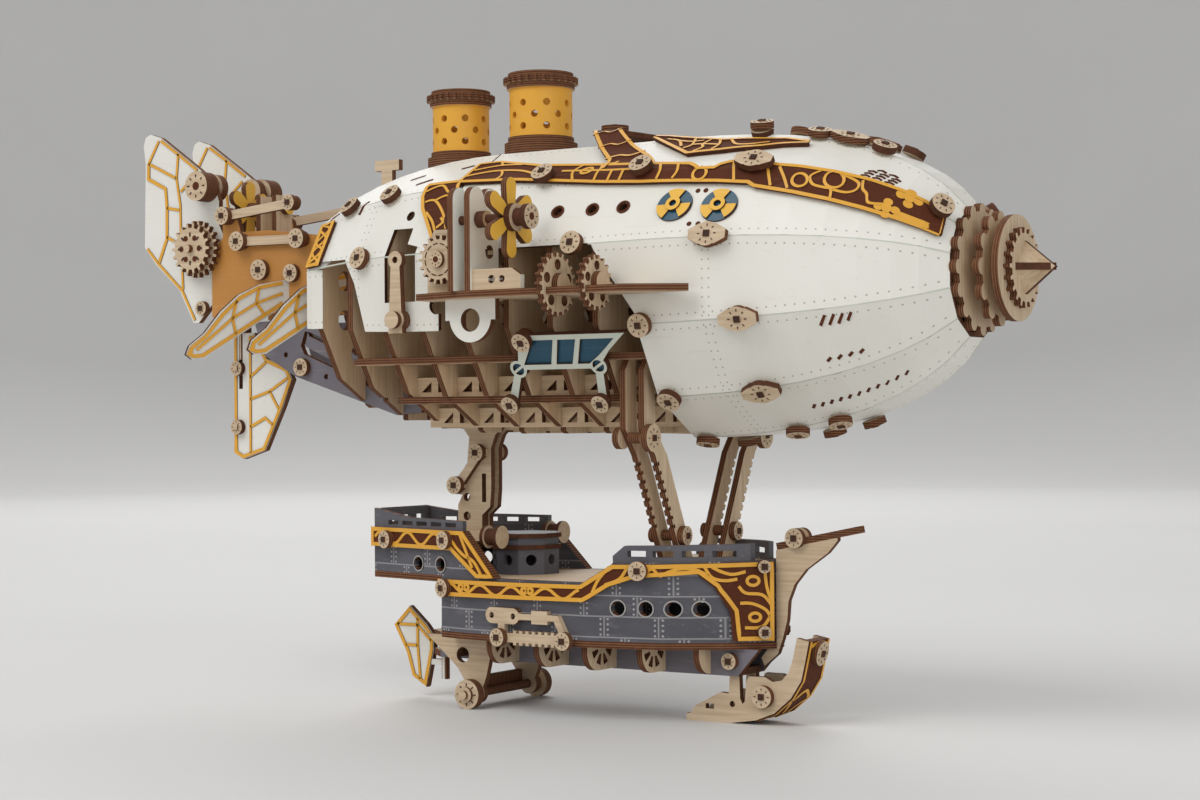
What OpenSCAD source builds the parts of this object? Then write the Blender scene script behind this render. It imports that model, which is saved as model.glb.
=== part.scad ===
// Plywood airship model: gored envelope above a boat hull, nose towards +X, resting on Z = 0

/* [Plywood] */
// Thickness of the structural plywood
ply = 2; // [1.6:0.1:2.4]
// Thickness of the bent skin panels
skin = 1.4; // [1:0.1:1.8]
// Thickness of the gold trim strips
trim = 1.2; // [0.8:0.1:1.6]
// Clearance on each side of a plate in its slot
slot_gap = 0.1; // [0.05:0.05:0.2]
// Radial clearance of an axle in its bearing hole
run_gap = 0.06; // [0.02:0.01:0.1]
// Width of the seam between neighbouring skin panels in degrees
seam = 0.25; // [0.15:0.05:0.4]

/* [Envelope] */
// Radius of the envelope over its ridges
env_r = 45.5; // [44:0.5:47]
// Height of the envelope's axis
env_z = 127; // [126:0.5:128]
// Rise of the axis from the middle to the nose
nose_rise = 1.5; // [0:0.5:3]
// Station where the nose starts to taper
fore_x = 40; // [38.5:0.5:42]
// Half length of the nose ellipse
fore_len = 106; // [105:0.5:108]
// Station where the tail starts to taper
aft_x = -10; // [-14:0.5:-6]
// Half length of the tail ellipse
aft_len = 98; // [92:0.5:110]
// Rear edge of the lower skin panels
cut_x = 56.5; // [56.4:0.1:57.5]
// Front end of every skin panel
nose_x = 140; // [138:0.5:142]
// Front edge of the rear cowl
cowl_x = -12.6; // [-14:0.1:-12.2]
// Rear edge of the rear cowl
cowl_end = -72; // [-76:0.5:-69]

/* [Frame] */
// Station of the foremost open rib
rib_front = 57.4; // [57:0.1:57.4]
// Distance between open ribs
rib_pitch = 15.5; // [15:0.1:15.6]
// Radius of the hole in each rib
rib_hole = 15; // [10:0.5:16]
// Height of the upper shelf
shelf_hi = 107; // [106:0.5:108]
// Height of the lower shelf
shelf_lo = 95; // [94:0.5:96]
// Top edge of the keel plate
keel_top = 109; // [107:0.5:110]

/* [Nose] */
// Height of the nose axle above the envelope's axis
nose_lift = 2.5; // [2:0.1:3]
// Radius of the nose plate
nose_plate_r = 18.3; // [17:0.1:19]
// Radius of the nose gear
nose_gear_r = 15.8; // [14:0.1:17]
// Radius of the nose ring
nose_ring_r = 14.6; // [13:0.1:15.5]
// Radius of the nose axle
nose_axle_r = 2; // [1.5:0.1:2.5]

/* [Engines] */
// Distance of the propeller shaft from the centre plane
prop_y = 55; // [54.5:0.5:57]
// Height of the propeller shaft
prop_z = 146.5; // [145:0.5:148]
// Radius of the propeller
prop_r = 11.5; // [10:0.5:12]
// Radius of the small axles
axle_r = 1.3; // [1:0.1:1.5]
// Height of the outrigger plate
out_z = 125; // [124:0.5:126]
// Outer edge of the outrigger plate
out_y = 59; // [58:0.5:60]
// Radius of the engine gear
eng_gear_r = 7.2; // [6.5:0.1:7.4]
// Station of the engine gear
eng_x = -7; // [-7.5:0.5:-6]

/* [Tail] */
// Outer face of the tail fins
fin_y = 13; // [12.5:0.5:14]
// Height of the tail gear axle
tail_gear_z = 147; // [146:0.5:148]
// Station of the tail gear axle
tail_gear_x = -135; // [-136:0.5:-134]
// Station of the lower rudder's post
rud_x = -130; // [-131:0.5:-129]

/* [Boat] */
// Half width of the hull
hull_y = 26.5; // [26:0.5:27]
// Underside of the hull floor
floor_z = 22; // [21:0.5:23]
// Top of the main deck
deck_z = 41; // [40:0.5:42]
// Radius of the stern wheels
wheel_r = 4.5; // [4:0.1:5]
// Station of the stern wheels
wheel_x = -21; // [-22:0.5:-20]
// Distance of the ski runners from the centre plane
ski_y = 5; // [4.5:0.1:5.5]

/* [Buttons] */
// Radius of the round buttons
btn_r = 3.4; // [3:0.1:3.6]
// Width of the square peg in a button
peg = 1.8; // [1.4:0.1:2.2]

/* [Hidden] */
$fn = 48;
half = ply / 2;
face_k = cos(15);
floor_top = floor_z + ply;
deck_mid = deck_z - half;
fore_deck = deck_z + 6;
castle_deck = deck_z + 10;
pylon_y = ply;
box_y = 7;
arm_y = 14;
side_y = fin_y + half;
pylon_low = castle_deck;
eng_z = out_z + half + 10;
gear_z = out_z + 2;
strut_x = [46.4, 52.6];
cabin_x = -12.4;
tail_prop_x = -127;
tail_prop_z = 161;
rudder_x = -44;
head = [-5.9, 2.5];
rack = [-2.1, 21.6];
saddle_x = 19;
saddle_rise = 4.5;
truss_h = 7;
truss_low = 86.6;
truss_hi_y = 25;
truss_lo_y = 14;
window_feet = [[13.3, -0.4], [41.3, 0.2]];
link_z = 30.2;
rack_z = 23.8;
up_x = [3.2, 9.2];
collar_gap = 0.4;
skin_gap = 0.2;
sprit_a = 11.5;
tip_x = nose_x + 23.3;
fin_tip = -163.3;
hull_end = -29;
nose_z = env_z + nose_lift;
lever_x = -26.5;
lever_z = 126;
lever_pin_r = 1.5;
lever_pin_in = 39;
ribs_x = [for (i = [0 : 8]) rib_front - i * rib_pitch];
tail_front = ribs_x[8] - half;
frame_x = ribs_x[8] - 13.4;
keel_step = -70;
keel_low = 110;
keel_high = 122;
bulk_x = [70, 100, 128];
xs_low = [cut_x, 66, 78, 90, 101, 111, 120, 128, 134, nose_x];
xs_side = [38, fore_x, 49, 58, 66, 78, 90, 101, 111, 120, 128, 134, nose_x];
xs_top = [cowl_x + 0.6, aft_x, fore_x, 49, 58, 66, 78, 90, 101, 111, 120, 128, 134, nose_x];
xs_aft = [cowl_end, -62, -52, -42, -32, -22, cowl_x];
plan = [[-62, hull_y - 13.1], [-20, hull_y - 2.5], [5, hull_y], [28, hull_y], [50, hull_y - 4.5],
  [66, hull_y - 14], [77, 2.2]];

// Radius over the ridges at a station
function hull_r(x) = x > fore_x ? env_r * sqrt(1 - pow((x - fore_x) / fore_len, 3))
  : x < aft_x ? env_r * sqrt(1 - pow((x - aft_x) / aft_len, 2)) : env_r;

// Height of the axis at a station
function axis_z(x) = env_z + nose_rise * max(0, x - fore_x) / (nose_x - fore_x);

// Slope of the envelope at a station
function hull_tilt(x) = atan(hull_r(x - 0.5) - hull_r(x + 0.5));

// Point on the envelope's section: radius and angle from starboard
function polar(x, r, th) = [x, -r * cos(th), axis_z(x) + r * sin(th)];

// Offset of a plan line to its left
function seg_n(a, b) = [a[1] - b[1], b[0] - a[0]] / norm(b - a);
function corner(n1, n2) = (n1 + n2) / (1 + n1 * n2);
function off_pt(p, i, d) = i == 0 ? p[0] + d * seg_n(p[0], p[1])
  : i == len(p) - 1 ? p[i] + d * seg_n(p[i - 1], p[i])
  : p[i] + d * corner(seg_n(p[i - 1], p[i]), seg_n(p[i], p[i + 1]));
function off_line(p, d) = [for (i = [0 : len(p) - 1]) off_pt(p, i, d)];
function plan_y(x) = lookup(x, plan);
function plan_i(x) = max([for (i = [0 : len(plan) - 2]) if (plan[i][0] <= x) i]);
function back(p) = [for (i = [len(p) - 1 : -1 : 0]) p[i]];

// Plate with its normal along X, drawn in Y and Z
module at_x(x) {
  translate([x - half, 0, 0]) rotate([90, 0, 90]) linear_extrude(ply) children();
}

// Plate with its normal along Y, drawn in X and Z
module at_y(y) {
  translate([0, y + half, 0]) rotate([90, 0, 0]) linear_extrude(ply) children();
}

// Plate with its normal along Z, drawn in X and Y
module at_z(z) {
  translate([0, 0, z - half]) linear_extrude(ply) children();
}

module both() {
  children();
  mirror([0, 1, 0]) children();
}

// Child's +Z turned to the envelope's outward normal
module on_hull(x, th, off) {
  translate([x, 0, axis_z(x)]) rotate([90 - th, 0, 0]) translate([0, 0, hull_r(x)])
    rotate([0, hull_tilt(x), 0]) translate([0, 0, off]) children();
}

// Child's +Z turned to the outward normal of the port hull side
module on_side(x, z, off) {
  i = plan_i(x);
  n = seg_n(plan[i], plan[i + 1]);
  translate([x + off * n[0], plan_y(x) + off * n[1], z]) rotate([90, 0, atan2(n[0], -n[1])]) children();
}

module gear2d(r, n, h) {
  w = 1.7 * (r - h) / n;
  circle(r - h);
  for (i = [0 : n - 1]) {
    rotate(360 / n * i) polygon([[r - h - 0.5, -w], [r, -0.55 * w], [r, 0.55 * w], [r - h - 0.5, w]]);
  }
}

module lobed2d(r, n) {
  b = 1.75 * r / n;
  circle(r - 1.1 * b);
  for (i = [0 : n - 1]) {
    rotate(360 / n * i) translate([r - b, 0]) circle(b);
  }
}

module button(r = btn_r) {
  cylinder(h = ply, r = r);
  translate([-peg / 2, -peg / 2, half]) cube([peg, peg, half + 0.5]);
}

module diamond() {
  linear_extrude(ply) {
    polygon([[-5.6, -1.3], [-5.6, 1.3], [-2.6, 2.9], [2.6, 2.9], [5.6, 1.3], [5.6, -1.3], [2.6, -2.9],
      [-2.6, -2.9]]);
    circle(btn_r + 0.1);
  }
  translate([-peg / 2, -peg / 2, half]) cube([peg, peg, half + 0.5]);
}

// Closed strip through equal rings of points, one ring per station
module loft(rings) {
  n = len(rings);
  m = len(rings[0]);
  pts = [for (r = rings) for (p = r) p];
  sides = [for (k = [0 : n - 2]) for (j = [0 : m - 1])
    [k * m + j, k * m + (j + 1) % m, (k + 1) * m + (j + 1) % m, (k + 1) * m + j]];
  start = [for (j = [m - 1 : -1 : 0]) j];
  stop = [for (j = [0 : m - 1]) (n - 1) * m + j];
  polyhedron(pts, concat([start], sides, [stop]));
}

// One skin panel between two ridges, centred on an angle
module gore(xs, th) {
  loft([for (x = xs) [
    polar(x, hull_r(x), th - 15 + seam),
    polar(x, hull_r(x), th + 15 - seam),
    polar(x, hull_r(x) - skin / face_k, th + 15 - seam),
    polar(x, hull_r(x) - skin / face_k, th - 15 + seam)]]);
}

// Point on the section a little above the skin, along the face beside a ridge
function beside(x, th, w, lift) = let (s = w < 0 ? -1 : 1, r = hull_r(x))
  [x, -(r * cos(th) - abs(w) * s * sin(th + 15 * s) + lift * cos(th + 15 * s)),
   axis_z(x) + r * sin(th) + abs(w) * s * cos(th + 15 * s) + lift * sin(th + 15 * s)];

// Raised strip that straddles a ridge
module ridge_band(xs, th, w) {
  lo = skin_gap / 2;
  hi = lo + trim;
  loft([for (x = xs) [
    beside(x, th, -w, hi), polar(x, hull_r(x) + hi / face_k, th), beside(x, th, w, hi),
    beside(x, th, w, lo), polar(x, hull_r(x) + lo / face_k, th), beside(x, th, -w, lo)]]);
}

// Raised strip across the section, each step a station, an angle on the polygon and a rise off the skin
function poly_r(x, th) = hull_r(x) * face_k / cos(th - 30 * round(th / 30));
module cross_strip(path, w) {
  loft([for (s = path) let (lo = skin_gap + s[2], hi = lo + trim) [
    polar(s[0] - w, poly_r(s[0] - w, s[1]) + lo, s[1]),
    polar(s[0] + w, poly_r(s[0] + w, s[1]) + lo, s[1]),
    polar(s[0] + w, poly_r(s[0] + w, s[1]) + hi, s[1]),
    polar(s[0] - w, poly_r(s[0] - w, s[1]) + hi, s[1])]]);
}

module section2d(x, r) {
  translate([0, axis_z(x)]) rotate(15) circle(r = r, $fn = 12);
}

// Slot cutters shared by the plates that cross
module x_slots(xs) {
  for (x = xs) {
    translate([x - half - slot_gap, -80, 0]) cube([ply + 2 * slot_gap, 160, 300]);
  }
}

module nose_plate() {
  color("burlywood") at_x(nose_x + half) difference() {
    translate([0, nose_z]) lobed2d(nose_plate_r, 16);
    translate([0, nose_z]) circle(nose_axle_r + run_gap);
  }
}

module nose_gear() {
  color("burlywood") at_x(nose_x + 6.5) difference() {
    translate([0, nose_z]) lobed2d(nose_gear_r, 12);
    translate([0, nose_z]) circle(nose_axle_r);
  }
}

module nose_ring() {
  color("tan") at_x(nose_x + 11.5) difference() {
    translate([0, nose_z]) circle(nose_ring_r);
    translate([0, nose_z]) circle(nose_axle_r);
  }
}

module nose_pinion() {
  color("tan") at_x(nose_x + 13.5) difference() {
    translate([0, nose_z]) gear2d(11, 20, 1.6);
    translate([0, nose_z]) circle(nose_axle_r);
  }
}

module nose_cone() {
  base = nose_x + 14.5;
  color("burlywood") {
    at_y(0) polygon([[base, nose_z - 7.3], [tip_x, nose_z], [base, nose_z + 7.3]]);
    at_z(nose_z) polygon([[base, -7.3], [tip_x, 0], [base, 7.3]]);
    translate([base, 0, nose_z]) rotate([0, 90, 0]) cylinder(h = 6.4, r1 = 6.6, r2 = 0.4, $fn = 4);
  }
}

module nose_axle() {
  color("peru") translate([0, 0, nose_z]) rotate([0, 90, 0]) {
    translate([0, 0, 124]) cylinder(h = nose_x + 14.5 - 124, r = nose_axle_r);
    translate([0, 0, 124]) cylinder(h = 2.6, r = 2 * nose_axle_r);
    translate([0, 0, nose_x + ply + 0.4]) cylinder(h = 5.5 - ply - 0.4, r = 2 * nose_axle_r);
    translate([0, 0, nose_x + 7.5]) cylinder(h = 3, r = 2 * nose_axle_r);
  }
}

module envelope_front() {
  color("ivory") {
    for (th = [-90, -60, -120, -30, -150]) {
      gore(xs_low, th);
    }
    difference() {
      for (th = [0, 180]) {
        gore(xs_side, th);
      }
      translate([0, 80, 0]) rotate([90, 0, 0]) linear_extrude(160)
        polygon([[30, 145], [38.4, 145], [42.5, 137], [52, 124], [cut_x, 118], [cut_x, 110], [30, 110]]);
    }
  }
}

module portholes() {
  for (x = [26.5, 38.5, 49]) {
    translate([x, 0, 0]) both() on_hull(0, 30, -5) cylinder(h = 10, r = 1.5, $fn = 16);
  }
}

module envelope_top() {
  color("ivory") difference() {
    for (th = [30, 60, 90, 120, 150]) {
      gore(xs_top, th);
    }
    portholes();
  }
}

module rear_cowl() {
  color("ivory") difference() {
    for (th = [0, 30, 60, 90, 120, 150, 180]) {
      gore(xs_aft, th);
    }
    both() {
      translate([0, -35, 0]) rotate([90, 0, 0]) linear_extrude(20)
        polygon([[-90, 138.6], [-52, 138.6], [-47.5, 131], [-40.5, 110], [-90, 110]]);
      translate([0, -35, 0]) rotate([90, 0, 0]) linear_extrude(20)
        polygon([[-34, 124.5], [-21.5, 124.5], [-21.5, 141], [-26, 142], [-26, 147], [-34, 147]]);
      translate([lever_x, -35, lever_z - 7]) rotate([90, 0, 0]) cylinder(h = 20, r = 1.8, $fn = 16);
      translate([-13.5, -35, 123]) rotate([90, 0, 0]) cylinder(h = 20, r = 2.6, $fn = 16);
      translate([-29, -25, 151]) rotate([90, 0, 0]) cylinder(h = 30, r = 1.5, $fn = 16);
    }
  }
}

// Ridge radius of a plate that just fits inside the skin
function plate_r(x) = min(hull_r(x - half), hull_r(x + half)) - skin / face_k - skin_gap;

// Outline of an open rib
module rib2d(x) {
  difference() {
    section2d(x, plate_r(x));
    translate([0, env_z]) circle(rib_hole);
    for (a = [15 : 30 : 345]) {
      translate([0, env_z]) rotate(a) translate([24, 0]) circle(3.2);
    }
  }
}

module ribs() {
  color("tan") difference() {
    for (x = ribs_x) {
      at_x(x) rib2d(x);
    }
    translate([-200, -half - slot_gap, 0]) cube([400, ply + 2 * slot_gap, keel_top - 12]);
    both() {
      translate([-56, 32, shelf_hi - half - slot_gap]) cube([120, 40, ply + 2 * slot_gap]);
      translate([-56, 21, shelf_lo - half - slot_gap]) cube([120, 40, ply + 2 * slot_gap]);
      translate([-20, 38, out_z - half - slot_gap]) cube([80, 30, ply + 2 * slot_gap]);
      translate([-42, truss_hi_y - half - slot_gap, shelf_lo])
        cube([92, ply + 2 * slot_gap, truss_h + slot_gap]);
      translate([-42, truss_lo_y - half - slot_gap, 0])
        cube([92, ply + 2 * slot_gap, truss_low + truss_h - half + slot_gap]);
      translate([-40, pylon_y - half - slot_gap, 0]) cube([30, ply + 2 * slot_gap, 94]);
      translate([lever_x, lever_pin_in - slot_gap, lever_z - 7]) rotate([-90, 0, 0])
        cylinder(h = 12, r = lever_pin_r + slot_gap);
      translate([keel_step, fin_y - ply - slot_gap, 0])
        cube([-42 - keel_step, ply + 2 * slot_gap, keel_low + slot_gap]);
      translate([-200, fin_y - ply - slot_gap, 0])
        cube([200 + keel_step, ply + 2 * slot_gap, keel_high + slot_gap]);
    }
  }
  color("tan") for (x = bulk_x) {
    at_x(x) difference() {
      section2d(x, plate_r(x));
      if (x > 120) {
        translate([0, nose_z]) circle(nose_axle_r + run_gap);
      }
      if (x < 120) {
        translate([0, axis_z(x)]) circle(rib_hole);
      }
    }
  }
}

module keel_plate() {
  color("tan") difference() {
    at_y(0) difference() {
      polygon([[-46, 92], [-36, 86], [-31.4, 85.9], [-31.4, pylon_low], [-27.6, pylon_low], [-27.6, 85.8],
        [56.2, 84.2], [56.2, keel_top], [-46, keel_top]]);
      for (i = [1 : 6]) {
        translate([ribs_x[i] + rib_pitch / 2, 0])
          polygon([[-5.5, keel_top - 3], [5.5, keel_top - 3], [0, keel_top - 16]]);
      }
    }
    translate([0, 0, keel_top - 12 - slot_gap]) x_slots(ribs_x);
  }
}

module shelf(z, y_in, y_lap, y_out, x_end) {
  difference() {
    at_z(z) polygon([[x_end, y_in], [56.2, y_in], [56.2, y_out], [x_end + 6, y_out], [x_end, y_out - 5]]);
    intersection() {
      x_slots(ribs_x);
      translate([-100, -y_lap - slot_gap, 0]) cube([200, 2 * (y_lap + slot_gap), 300]);
    }
  }
}

// Long plate with two triangular cut-outs between neighbouring ribs
module truss2d(z0, z1) {
  difference() {
    polygon([[-38, z0], [56.2, z0], [56.2, z1], [-38, z1]]);
    for (i = [0 : 5]) {
      translate([ribs_x[i] - rib_pitch / 2, 0]) for (s = [-1, 1]) {
        polygon([[s * 5, z0 + 1.4], [s * 1.3, z0 + 1.4], [s * 1.3, z1 - 1.3]]);
      }
    }
  }
}

module keel_shelves() {
  color("tan") both() {
    shelf(shelf_hi, 27, 32, 38, -54);
    shelf(shelf_lo, 17, 21, 29, -44);
    at_y(-truss_hi_y) truss2d(shelf_lo + half + slot_gap, shelf_lo + truss_h);
    at_y(-truss_lo_y) truss2d(truss_low, truss_low + truss_h - half);
  }
}

// Space below the top skin panel, for parts that stand on it
module top_cut() {
  xs = concat(xs_aft, xs_top);
  top = [for (x = xs) [x, env_z + hull_r(x) * face_k + 0.05]];
  translate([0, 20, 0]) rotate([90, 0, 0]) linear_extrude(40)
    polygon(concat(top, [[nose_x, 100], [cowl_end, 100]]));
}

module tube(x, r, z0, z1) {
  difference() {
    translate([x, 0, z0]) cylinder(h = z1 - z0, r = r);
    translate([x, 0, z0 - 1]) cylinder(h = z1 - z0 + 2, r = r - 1.6);
    for (k = [0 : 2]) {
      for (i = [0 : 7]) {
        translate([x, 0, z0 + 3 + 3.6 * k]) rotate([0, 90, 45 * i + 22.5 * k])
          translate([0, 0, r - 4]) cylinder(h = 6, r = 1.1);
      }
    }
  }
}

module chimney_tubes() {
  color("goldenrod") {
    tube(-5.5, 9.8, 176.5, 191.5);
    tube(-36.5, 9, 174, 188.5);
  }
}

module chimney_cap(x, r, z) {
  translate([x, 0, z]) linear_extrude(1.6) difference() {
    circle(r + 0.8);
    circle(r - 1.6);
  }
  translate([x, 0, z + 1.6]) linear_extrude(ply) difference() {
    gear2d(r + 1.9, 28, 0.9);
    circle(r - 2.6);
  }
  translate([x, 0, z + 1.6 + ply]) linear_extrude(1.4) difference() {
    circle(r + 0.4);
    circle(r - 2.6);
  }
}

module chimney_base(x, r, z) {
  difference() {
    union() {
      translate([x, 0, z - 8]) cylinder(h = 6.2, r = r + 1.6);
      translate([x, 0, z - 8]) cylinder(h = 8, r = r + 0.5);
    }
    top_cut();
  }
}

module chimney_rims() {
  color("burlywood") {
    chimney_cap(-5.5, 9.8, 191.5);
    chimney_cap(-36.5, 9, 188.5);
    chimney_base(-5.5, 9.8, 176.5);
    chimney_base(-36.5, 9, 174);
  }
}

module ornament_bands() {
  color("saddlebrown") {
    both() ridge_band([for (x = xs_top) max(x, -11)], 45, 3.3);
    both() ridge_band([44, 49, 58, 66, 78, 90], 75, 2);
    both() cross_strip([[46, 50.6, 0], [41, 57, 0.4], [36, 63.4, 1.2], [27.6, 75, 3.1],
      [saddle_x, 89.6, saddle_rise]], 5);
    both() cross_strip([[-68, 16, 0], [-68, 30, 0], [-68, 41, 0]], 3.6);
    both() cross_strip([[-19.5, 21, 0], [-19.5, 30, 0], [-19.5, 41, 0]], 6.5);
  }
}

// Child laid on the flat of the panel below the starboard side
module on_panel(lift) {
  translate([0, 0, env_z]) rotate([120, 0, 0]) translate([0, 0, env_r * face_k + 0.1 + lift]) children();
}

// Blue fields of the window: three panes and a divided round at each lower corner
module panes2d(gap) {
  for (p = [[[21.4, 9], [28.6, 9], [25.4, 1], [15.8, 1]], [[30.2, 9], [36.4, 9], [32.8, 1], [27.2, 1]],
    [[38, 9], [49.4, 9], [45.2, 5.6], [42.6, 3.6], [38.6, 1], [34.6, 1]]]) {
    offset(delta = -gap) polygon(p);
  }
  for (q = window_feet) {
    offset(delta = -gap) translate(q) difference() {
      circle(1.9);
      rotate(30) square([5, 0.8], center = true);
    }
  }
}

module window_panels() {
  color("teal") both() on_panel(0) linear_extrude(1.2) panes2d(0.05);
  color("beige") both() on_panel(0) linear_extrude(ply) difference() {
    union() {
      polygon([[17, 10.6], [53.4, 10.6], [46.4, 5], [43, 1.4], [41, -0.6], [13, -0.6], [14, 2]]);
      translate([18.6, 9.2]) circle(3);
      for (q = window_feet) {
        translate(q) circle(2.8);
      }
      polygon([[11.4, -1.6], [14, -1.6], [8.4, -12.6], [5.4, -12.6]]);
      polygon([[39.8, -1.4], [42.4, -1.4], [40.4, -12.6], [37.6, -12.6]]);
    }
    panes2d(0);
  }
}

module outrigger_plates() {
  color("tan") both() difference() {
    at_z(out_z) polygon([[-14, -44.6], [-9, -44.6], [-9, -34], [40, -34], [40, -44.4], [60, -44.4],
      [75, -46], [76.5, -48.5], [62, -out_y], [8, -out_y], [-14, -53]]);
    intersection() {
      x_slots(ribs_x);
      translate([-100, -38 - slot_gap, 0]) cube([200, 40, 300]);
    }
    for (x = [35.4, 48.6]) {
      translate([x - half - slot_gap, -out_y - 1, 0]) cube([ply + 2 * slot_gap, 7 + slot_gap, 300]);
    }
  }
}

// Gears lapped over the outer edge of the outrigger plate
module lapped_gear(x, r, n) {
  difference() {
    union() {
      at_x(x) difference() {
        translate([-out_y + 6, gear_z]) gear2d(r, n, 1.2);
        for (i = [0 : 4]) {
          translate([-out_y + 6, gear_z]) rotate(90 + 72 * i) translate([0.62 * r, 0]) circle(0.17 * r);
        }
      }
      intersection() {
        translate([x - 3, -out_y + 6, gear_z]) rotate([0, 90, 0]) cylinder(h = 6, r = 3.2);
        translate([x - 5, -out_y, out_z + half + slot_gap]) cube([10, 20, 20]);
      }
    }
    translate([x - 5, -out_y + 6, out_z - half - slot_gap]) cube([10, 20, ply + 2 * slot_gap]);
  }
}

module outrigger_gears() {
  color("burlywood") both() {
    lapped_gear(35.4, 9, 20);
    lapped_gear(48.6, 7.8, 18);
  }
}

module engine_brackets() {
  top = out_z + half;
  color("burlywood") both() {
    for (x = up_x) {
      at_x(x) difference() {
        union() {
          translate([-prop_y - 4, top]) square([14, prop_z + 6 - top]);
          translate([-prop_y - 0.5, prop_z + 6]) circle(3.5);
          translate([-prop_y + 6.5, prop_z + 6]) circle(3.5);
        }
        translate([-prop_y, prop_z]) circle(axle_r + run_gap);
        translate([-prop_y + 5.5, prop_z - 9]) circle(2);
      }
    }
    at_y(-47) difference() {
      polygon([[-13.5, top], [2.2, top], [2.2, top + 15], [-2, top + 19], [-11, top + 19],
        [-13.5, top + 14]]);
      translate([eng_x, eng_z]) circle(axle_r + run_gap);
    }
    at_y(-57) difference() {
      polygon([[10.2, top], [27, top], [27, top + 4], [24, top + 6], [10.2, top + 6]]);
      translate([17, top + 3]) circle(1.2);
      translate([20.6, top + 3]) circle(1);
    }
    at_y(-49) difference() {
      union() {
        translate([-5.5, out_z - half - 6]) square([18, 6]);
        translate([3.5, out_z - half - 5]) circle(7.5);
      }
      translate([3.5, out_z - half - 6]) circle(3.4);
      translate([-20, out_z - half]) square([50, 20]);
    }
  }
}

// Six rounded blades
module blades2d(r) {
  for (a = [30 : 60 : 330]) {
    rotate(a) {
      polygon([[1, -1.2], [0.45 * r, -2.1], [r - 2.4, -2.4], [r - 2.4, 2.4], [0.45 * r, 2.1], [1, 1.2]]);
      translate([r - 2.4, 0]) circle(2.4);
    }
  }
  circle(3);
}

module propeller() {
  difference() {
    at_x(21) translate([-prop_y, prop_z]) blades2d(prop_r);
    translate([10, -prop_y, prop_z]) rotate([0, 90, 0]) cylinder(h = 20, r = axle_r);
  }
  translate([0, -prop_y, prop_z]) rotate([0, 90, 0]) {
    translate([0, 0, up_x[0] - 4.2]) cylinder(h = 30, r = axle_r);
    translate([0, 0, 22]) cylinder(h = ply, r = 4);
    translate([0, 0, 24]) cylinder(h = 3, r = 2.6);
    translate([0, 0, 27]) cylinder(h = ply, r = 3.6);
    translate([0, 0, up_x[1] + half + collar_gap]) cylinder(h = 3, r = 2.4);
    translate([0, 0, up_x[0] - half - collar_gap - ply]) cylinder(h = ply, r = 2.4);
  }
}

module propeller_right() {
  color("gold") propeller();
}

module propeller_left() {
  color("gold") mirror([0, 1, 0]) propeller();
}

module engine_gear() {
  z = eng_z;
  difference() {
    at_y(-50.4) translate([eng_x, z]) gear2d(eng_gear_r, 18, 1.3);
    translate([eng_x, -40, z]) rotate([90, 0, 0]) cylinder(h = 20, r = axle_r);
  }
  translate([eng_x, 0, z]) rotate([90, 0, 0]) {
    translate([0, 0, 43.6]) cylinder(h = 8.6, r = axle_r);
    translate([0, 0, 48.3]) cylinder(h = 1.1, r = 2.4);
    translate([0, 0, 43.6]) cylinder(h = 2, r = 1.9);
    translate([0, 0, 51.4]) cylinder(h = 1.2, r = 2.4);
  }
}

module engine_gear_right() {
  color("burlywood") engine_gear();
}

module engine_gear_left() {
  color("burlywood") mirror([0, 1, 0]) engine_gear();
}

// Lever on the cowl with a hole for its pin
module cowl_lever() {
  z = lever_z - 7;
  at_y(-46) difference() {
    union() {
      translate([lever_x, z]) circle(3.2);
      translate([lever_x, z + 18]) circle(2.6);
      polygon([[lever_x - 2.6, z - 4], [lever_x + 2.6, z - 4], [lever_x + 2.4, z],
        [lever_x + 1.6, z + 18], [lever_x - 1.6, z + 18], [lever_x - 2.4, z]]);
    }
    translate([lever_x, z]) circle(lever_pin_r + run_gap);
    translate([lever_x, z + 18]) circle(1);
  }
}

module cowl_lever_right() {
  color("burlywood") cowl_lever();
}

module cowl_lever_left() {
  color("burlywood") mirror([0, 1, 0]) cowl_lever();
}

module lever_pins() {
  z = lever_z - 7;
  color("peru") both() translate([lever_x, 0, z]) rotate([90, 0, 0]) {
    translate([0, 0, lever_pin_in]) cylinder(h = 10, r = lever_pin_r);
    translate([0, 0, 43.5]) cylinder(h = 1.1, r = 3);
    translate([0, 0, 47.4]) cylinder(h = 1.6, r = 2.6);
  }
}

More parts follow.
